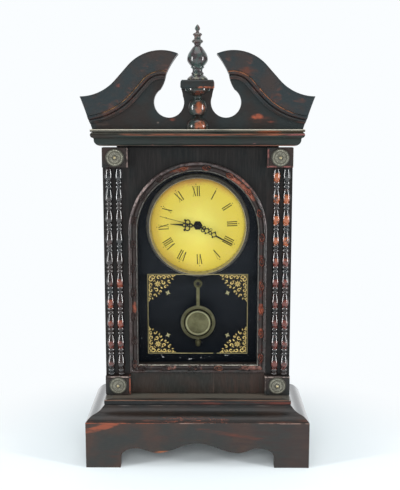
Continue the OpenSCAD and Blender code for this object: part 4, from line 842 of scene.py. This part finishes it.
def lozenge(s, out):
    """Shares of a lozenge's field, its raised ribbons and the reeds beside it at s and out.

    With t from the lozenge's middle and u across it, the field is |t| < half, |u| < 1; the
    ribbons are the pointed oval u = +-0.8 cos(pi t / 2 half), a boss and two beads."""
    t = (s - LOZENGE_FROM + LOZENGE_PITCH / 2) % LOZENGE_PITCH - LOZENGE_PITCH / 2
    u = (out - LOZENGE_OUT) / LOZENGE_WIDE
    wide = 0.8 * np.cos(np.clip(np.pi * t / 2 / LOZENGE_HALF, -np.pi / 2, np.pi / 2))
    oval = np.clip(1.5 - np.abs(np.abs(u) - wide) / 0.16, 0, 1)
    boss = np.clip(2.2 - np.hypot(t, u * LOZENGE_WIDE) / 0.62, 0, 1)
    beads = np.clip(1.9 - np.hypot(np.abs(t) - 2.9, u * LOZENGE_WIDE) / 0.45, 0, 1)
    field = np.clip((LOZENGE_HALF - np.abs(t)) / 0.5, 0, 1) \
        * np.clip((1 - np.abs(u)) / 0.1, 0, 1)
    reeds = np.clip(1.4 - np.abs(np.abs(t) - LOZENGE_HALF - 2.2) / 0.5, 0, 1)
    return field, field * np.maximum(oval, np.maximum(boss, beads)), reeds * (np.abs(u) < 1)


def moulding_profile():
    """Section of the window moulding: distance out and projection of its lip, low rounded
    band and outer roll, as the plain solid has it, at an even fine spacing."""
    w, t = MOULDING_W, MOULDING_T
    lip, low, roll = t * 0.8, t * 0.6, w * 0.2
    share = np.linspace(0, 1, PROFILE_STEPS)
    turn = np.radians(np.linspace(192, 0, PROFILE_STEPS))
    band = np.stack([w * (0.15 + 0.415 * share), low + 3.2 * share * (1 - share)], 1)
    bead = np.stack([w - roll + roll * np.cos(turn), t - roll + roll * np.sin(turn)], 1)
    return np.concatenate([[(0, 0), (0, lip - 0.7), (0.35, lip - 0.2), (0.8, lip),
                            (w * 0.13, lip), (w * 0.145, lip - 0.3)], band, bead, [(w, 0)]])


def moulding(kind):
    """The moulding's profile carried along the arch, a leg or the sill, with its lozenges.

    A point lies its distance out from the window's edge: on the arch at radius r + out round
    the springing, on a leg at r + out to the side, on the sill at out below. s runs along the
    moulding from the apex, positive to the right. The ends of the legs and of the sill are
    mitred, so each profile point starts at its own distance out."""
    out, up = moulding_profile().T
    spring, sill, r = AT["spring_z"], AT["sill_z"], AT["window_r"]
    quarter = math.pi / 2 * (r + MOULDING_W / 2)
    if kind == "top":
        turn = np.linspace(math.pi, 0, ARCH_STEPS)[:, None]
        x, z = (r + out) * np.cos(turn), spring + (r + out) * np.sin(turn)
        s = (math.pi / 2 - turn) * (r + MOULDING_W / 2) + 0 * out
    elif kind == "sill":
        share = np.linspace(-1, 1, SILL_STEPS)[:, None]
        x, z = share * (r + out), sill - out + 0 * share
        s = share * r + SILL_FROM + 0 * out
    else:
        side = 1 if kind == "right" else -1
        share = np.linspace(0, 1, LEG_STEPS)[:, None]
        low = sill - out
        z = low + (spring - low) * share
        x = side * (r + out) + 0 * share
        s = side * (quarter + spring - z)
    field, raised, reeds = lozenge(s, out + 0 * s)
    on_top = (up > 1)[None, :]
    cut = up * (1 - field) - reeds * REED_DEEP \
        + field * (MOULDING_T * (LOZENGE_DEEP + LOZENGE_RISE * raised))
    y = AT["door_face"] - np.where(on_top, cut, up)
    rings = np.stack([x, y, z + 0 * y], -1)
    if kind in ("left", "sill"):
        rings, raised = rings[:, ::-1], raised[:, ::-1]
    return sweep(rings), raised.ravel()


for kind, name in (("top", "arch_moulding_top"), ("left", "arch_moulding_left"),
                   ("right", "arch_moulding_right"), ("sill", "arch_moulding_bottom")):
    part, raised = moulding(kind)
    carved = piece("carved_" + name, [part], "carving_lacquer", "front_door",
                   50, [raised])
    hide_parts(name)


# Rings of scales on a rosette, each an outer radius, an inner radius and a count
SCALE_RINGS = ((13.0, 10.7, 30), (10.7, 8.5, 24), (8.5, 6.4, 20), (6.4, 4.4, 14),
               (4.4, 2.7, 10))


def rosette(x, z):
    """A round boss: rings of overlapping scales around a knob.

    Height over the block is the dished disc, less a groove between scales and a fall
    towards each scale's inner edge; alternate rings are turned by half a scale."""
    radii = np.concatenate([np.linspace(ROSETTE_R, 2.7, 58), np.linspace(2.6, 0.15, 12)])
    radii = radii[:, None]
    turn = np.linspace(0, 2 * math.pi, 240, endpoint=False)[None, :]
    base = np.interp(radii, [0, 1.2, 2.3, 2.7, 4, 8.4, 10.6, 12.6, ROSETTE_R],
                     [5.8, 5.3, 3.9, 3.3, 3.5, 3.1, 2.8, 1.9, 1.4])
    cut = 0 * radii * turn
    for k, (outer, inner, count) in enumerate(SCALE_RINGS):
        on = (radii <= outer) & (radii > inner)
        share = (outer - radii) / (outer - inner)
        lobe = np.abs(np.sin(count * turn / 2 + k * math.pi / 2))
        gap = np.clip(1 - lobe / 0.42, 0, 1)
        tip = np.clip((0.34 - share) / 0.34, 0, 1) * (1 - lobe)
        cut = cut + on * (0.85 * gap + 0.7 * tip + 0.5 * share)
    face = AT["block_face"]
    top = face - np.maximum(base - cut, 0.5)
    ring = np.stack([x + radii * np.sin(turn), top, z + radii * np.cos(turn)], -1)
    foot = np.stack([x + ROSETTE_R * np.sin(turn), face + 0 * turn,
                     z + ROSETTE_R * np.cos(turn)], -1)
    return sweep(np.concatenate([foot, ring]))


bosses = piece("rosette_bosses",
               [rosette(side * AT["rosette_x"], z) for side in (-1, 1)
                for z in (AT["low_rosette"], AT["high_rosette"])],
               "rosette_brass", "front_door", 40)
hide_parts("rosettes")


FIGURES = ["XII", "I", "II", "III", "IIII", "V", "VI", "VII", "VIII", "IX", "X", "XI"]
FIGURE_FOOT = 43.6
FIGURE_H = 15.0
DIAL_TURN = -2.7  # degrees: the dial sits a little turned
INK_DEPTHS = (AT["dial_face"] - 0.05, AT["dial_face"] + 0.1)


def stroke(x0, z0, x1, z1, w):
    """A leaning stroke w wide, from (x0, z0) to (x1, z1)."""
    return np.array([(x0 - w / 2, z0), (x0 + w / 2, z0), (x1 + w / 2, z1), (x1 - w / 2, z1)])


def figure(text):
    """Strokes of a Roman figure standing on the line z = 0, centred on x = 0: a thick
    stroke for I and for what leans left in V and X, a thin one for the rest, and serifs."""
    widths = {"I": 2.9, "V": 6.2, "X": 6.4}
    h, thick, thin, serif = FIGURE_H, 1.4, 0.4, 0.35
    x = -sum(widths[c] for c in text) / 2
    strokes = []
    for c in text:
        mid = x + widths[c] / 2
        if c == "I":
            strokes.append(stroke(mid, 0, mid, h, thick))
            strokes += [stroke(mid, z, mid, z + serif, 2.2) for z in (0, h - serif)]
        elif c == "V":
            strokes.append(stroke(mid + 0.2, 0, mid - 1.9, h, thick))
            strokes.append(stroke(mid + 0.4, 0, mid + 2.1, h, thin))
            strokes += [stroke(mid + dx, h - serif, mid + dx, h, 1.9) for dx in (-1.9, 2.1)]
        else:
            strokes.append(stroke(mid + 1.9, 0, mid - 1.9, h, thick))
            strokes.append(stroke(mid - 1.8, 0, mid + 1.8, h, thin))
            strokes += [stroke(mid + dx, z, mid + dx, z + serif, 1.9)
                        for dx in (-1.9, 1.9) for z in (0, h - serif)]
        x += widths[c]
    return strokes


def on_dial(outline, angle, foot):
    """Turns an upright outline to a clock angle: out along the radius, across to the right."""
    a = math.radians(angle + DIAL_TURN)
    outline = np.asarray(outline)
    across, out = outline[:, :1], outline[:, 1:] + foot
    return out * [math.sin(a), math.cos(a)] + across * [math.cos(a), -math.sin(a)] \
        + [0, AT["dial_z"]]


figures = [plate(on_dial(shape, 30 * hour, FIGURE_FOOT), *INK_DEPTHS)
           for hour, text in enumerate(FIGURES) for shape in figure(text)]
piece("dial_figures", figures, "dial_ink", "case")

# Minute marks: a dot at each hour and a short line between, with the radius of their feet
DOT_TURN = np.radians(np.arange(0, 360, 30))
HOUR_DOT = (0.7 * np.stack([np.cos(DOT_TURN), np.sin(DOT_TURN)], 1), 61.2)
MINUTE_LINE = (stroke(0, 0, 0, 1.0, 0.2), 60.7)
marks = []
for minute in range(60):
    shape, foot = MINUTE_LINE if minute % 5 else HOUR_DOT
    marks.append(plate(on_dial(shape, 6 * minute, foot), *INK_DEPTHS))
piece("dial_minute_marks", marks, "dial_ink", "case")


# ------------------------------------------------------------------ gilding on the glass

# The border line's middle, at the sides, the top and the foot; its width; the gap inside it
GILT_HALF_W = 73.4
GILT_TOP = 273.0
GILT_FOOT = 153.5
GILT_LINE = 0.85
GILT_GAP = 0.8
BORDER_BREAK = (22.6, 28.8)
GILT_DEPTHS = (AT["glass_front"] - 0.06, AT["glass_front"] + 0.05)


def scroll(centre, radius, start, turns, w, flip=1):
    """A spiral ribbon: its radius shrinks to a fifth over its turns, and its width swells
    in the middle as a sine."""
    t = np.linspace(0, 1, 22)
    angle = math.radians(start) + flip * 2 * math.pi * turns * t
    r = radius * (1 - 0.8 * t)
    path = np.stack([centre[0] + r * np.cos(angle), centre[1] + r * np.sin(angle)], 1)
    return path, w * (0.5 + 0.7 * np.sin(math.pi * t) ** 0.6)


def leaf(tip, root, w):
    """A pointed leaf from root to tip, whose width is a sine along it."""
    tip, root = np.array(tip, float), np.array(root, float)
    t = np.linspace(0, 1, 9)
    return root + (tip - root) * t[:, None], w * np.sin(math.pi * t) ** 0.8 + 0.08


def flower(centre, size, petals, w, turn=0.0):
    """Pointed petals from one centre."""
    angles = np.radians(turn + np.arange(petals) * 360 / petals)
    return [leaf(centre + size * out, centre + 0.12 * size * out, w)
            for out in np.stack([np.cos(angles), np.sin(angles)], 1)]


def corner_ornament():
    """Openwork for one corner, drawn with the corner at (0, 0) and both legs positive:
    scrolls and leaves round an eight-petalled flower inside a triangle, the same on both
    sides of its diagonal."""
    half = [
        scroll((6.8, 4.2), 3.7, 190, 1.0, 0.95), scroll((15.0, 4.0), 3.5, 20, 1.0, 0.95, -1),
        scroll((22.8, 3.8), 3.3, 200, 1.0, 0.95), scroll((29.8, 3.2), 2.7, 20, 1.0, 0.9, -1),
        scroll((35.4, 2.2), 1.8, 200, 0.9, 0.8), scroll((22.8, 11.6), 3.2, 250, 1.0, 0.95, -1),
        scroll((30.4, 9.2), 2.2, 60, 0.9, 0.85), scroll((25.2, 18.0), 2.1, 300, 0.9, 0.85, -1),
        leaf((40.0, 0.6), (37.2, 1.2), 0.8), leaf((37.0, 6.6), (33.8, 5.6), 1.0),
        leaf((33.2, 12.4), (30.0, 11.4), 1.0), leaf((29.6, 16.4), (26.6, 14.6), 1.0),
        leaf((9.8, 7.8), (7.2, 10.4), 0.9), leaf((18.6, 8.0), (20.4, 9.4), 0.8),
        leaf((11.0, 0.6), (11.0, 3.2), 0.7), leaf((19.0, 0.6), (19.0, 3.0), 0.7),
        leaf((26.4, 0.6), (26.4, 2.8), 0.7), leaf((20.8, 20.4), (18.2, 17.6), 0.9),
    ]
    shapes = half + [(path[:, ::-1], w) for path, w in half]
    return shapes + flower((13.8, 13.4), 5.0, 8, 1.0) + flower((2.8, 2.8), 2.6, 4, 0.9, 45)


def mirrored(shapes):
    """The shapes of one corner at all four corners, just inside the border line."""
    parts = []
    for side in (-1, 1):
        for level, way in ((GILT_TOP, -1), (GILT_FOOT, 1)):
            for path, widths in shapes:
                moved = np.stack([side * (GILT_HALF_W - GILT_GAP - path[:, 0]),
                                  level + way * (GILT_GAP + path[:, 1])], 1)
                parts.append(ribbon(moved, widths, *GILT_DEPTHS))
    return parts


def border():
    """The border line, broken once in its lower run."""
    x, top, foot, half = GILT_HALF_W, GILT_TOP, GILT_FOOT, GILT_LINE / 2
    break_from, break_to = BORDER_BREAK
    level = [(-x, top, x), (-x, foot, break_from), (break_to, foot, x)]
    bars = [(x0 - half, z - half, x1 + half, z + half) for x0, z, x1 in level]
    bars += [(side - half, foot + half, side + half, top - half) for side in (-x, x)]
    return [plate([(x0, z0), (x1, z0), (x1, z1), (x0, z1)], *GILT_DEPTHS)
            for x0, z0, x1, z1 in bars]


piece("glass_gilding", mirrored(corner_ornament()), "gilding", "front_door")
piece("gilt_border", border(), "gilt_line", "front_door")
PALE_FLOWER = (28.6, 26.8)
piece("pale_flowers", mirrored(flower(PALE_FLOWER, 4.0, 4, 1.0, 20)
                               + flower(PALE_FLOWER, 2.4, 4, 0.7, 65)),
      "pale_gilding", "front_door")


def fleck(x, z, size, seed):
    """An uneven chip of pale paint: a small flattened circle whose radius wanders."""
    wander = np.random.default_rng(seed).uniform(0.55, 1.25, 11)
    turn = np.linspace(0, 2 * math.pi, 11, endpoint=False)
    return plate(np.stack([x + size * wander * np.cos(turn),
                           z + size * 0.6 * wander * np.sin(turn)], 1), *GILT_DEPTHS)


# Chips of paint along the glass's foot, each at X and Z with its size
FLECKS = ((-51.5, 147.6, 1.5), (-53.8, 150.4, 0.8), (-26, 146.4, 0.7), (4.9, 146.8, 1.1),
          (-12.4, 144.6, 1.6), (-9.6, 144.9, 1.0), (41.6, 150.2, 1.5), (44.4, 150.0, 0.9),
          (-83.2, 176.4, 0.8), (17.4, 148.4, 0.5))
piece("paint_flecks", [fleck(x, z, size, k) for k, (x, z, size) in enumerate(FLECKS)],
      "chipped_paint", "front_door")


# ------------------------------------------------------------------ stage, lamps and camera

STUDIO = tone("#fafdff")
FLOOR_R = 9  # metres, as are all lengths below
MIDDLE = (0, 0, 0.3)


def stage_floor():
    """A pale round floor that keeps the clock's shadow and fades to the background further
    out, from 190 to 460 mm."""
    f = Finish("studio_floor")
    x, y, _ = f.axes()
    far = distance(x, y, (0, -40))
    lit = f.add("ShaderNodeBsdfDiffuse", None, {"Color": tone("#e9f1f4")})
    plain = f.add("ShaderNodeEmission", None, {"Color": STUDIO, "Strength": 1.0})
    f.close(f.add("ShaderNodeMixShader", None, {0: f.step(far, 190, 460), 1: lit, 2: plain}))
    turn = np.linspace(0, 2 * math.pi, 64, endpoint=False)
    rim = FLOOR_R * np.stack([np.cos(turn), np.sin(turn), 0 * turn], 1)
    mesh = bpy.data.meshes.new("studio_floor")
    mesh.from_pydata(rim.tolist(), [], [tuple(range(len(rim)))])
    mesh.materials.append(f.material)
    floor = bpy.data.objects.new("studio_floor", mesh)
    bpy.context.scene.collection.objects.link(floor)


def studio_world():
    """White background; its light is softer on surfaces, and mirrors see it white behind
    the clock and dim in front, as in a room with one white backdrop."""
    world = bpy.data.worlds.new("studio")
    bpy.context.scene.world = world
    f = Finish("studio", world)
    toward = f.add("ShaderNodeTexCoord", out="Generated")
    back = f.add("ShaderNodeSeparateXYZ", None, {0: toward}, "Y")
    glossy = f.add("ShaderNodeLightPath", out="Is Glossy Ray")
    diffuse = f.add("ShaderNodeLightPath", out="Is Diffuse Ray")
    strength = 1 - diffuse * 0.6 - glossy * f.step(back, 0.1, 0.5, 0.76, 0.1)
    f.close(f.add("ShaderNodeBackground", None, {"Color": STUDIO, "Strength": strength}),
            "ShaderNodeOutputWorld")


stage_floor()
studio_world()


def softbox(name, place, width, height, power, glossy=True):
    """A rectangular soft lamp of so many watts that faces the clock's middle from place;
    where glossy is false, polished surfaces don't mirror it."""
    data = bpy.data.lights.new(name, "AREA")
    data.shape = "RECTANGLE"
    data.size = width
    data.size_y = height
    data.energy = power
    lamp = bpy.data.objects.new(name, data)
    x, y, z = np.array(MIDDLE) - np.array(place)
    lamp.location = place
    lamp.rotation_euler = (math.pi / 2 + math.atan2(z, math.hypot(x, y)), 0,
                           math.atan2(-x, y))
    lamp.visible_glossy = glossy
    bpy.context.scene.collection.objects.link(lamp)


softbox("left_strip", (-1.28, -0.68, 0.45), 0.2, 1.2, 18)
softbox("right_strip", (1.28, -0.68, 0.45), 0.2, 1.2, 18)
softbox("overhead", (0, -0.2, 1.9), 1.4, 1.4, 12)
softbox("front_fill", (0, -2.3, 0.95), 1.6, 1.2, 30, glossy=False)

# The photo's camera: its focal length, place and tilt are fitted to the clock's edges
lens = bpy.data.cameras.new("photo_view")
lens.lens = 61.57
lens.sensor_width = 36
lens.clip_start = 0.05
lens.clip_end = 50
camera = bpy.data.objects.new("photo_view", lens)
camera.location = (0.0108, -1.2232, 0.5060)
camera.rotation_euler = (math.radians(81.1), 0, math.radians(0.35))
bpy.context.scene.collection.objects.link(camera)
bpy.context.scene.camera = camera
bpy.context.scene.view_settings.view_transform = "Standard"
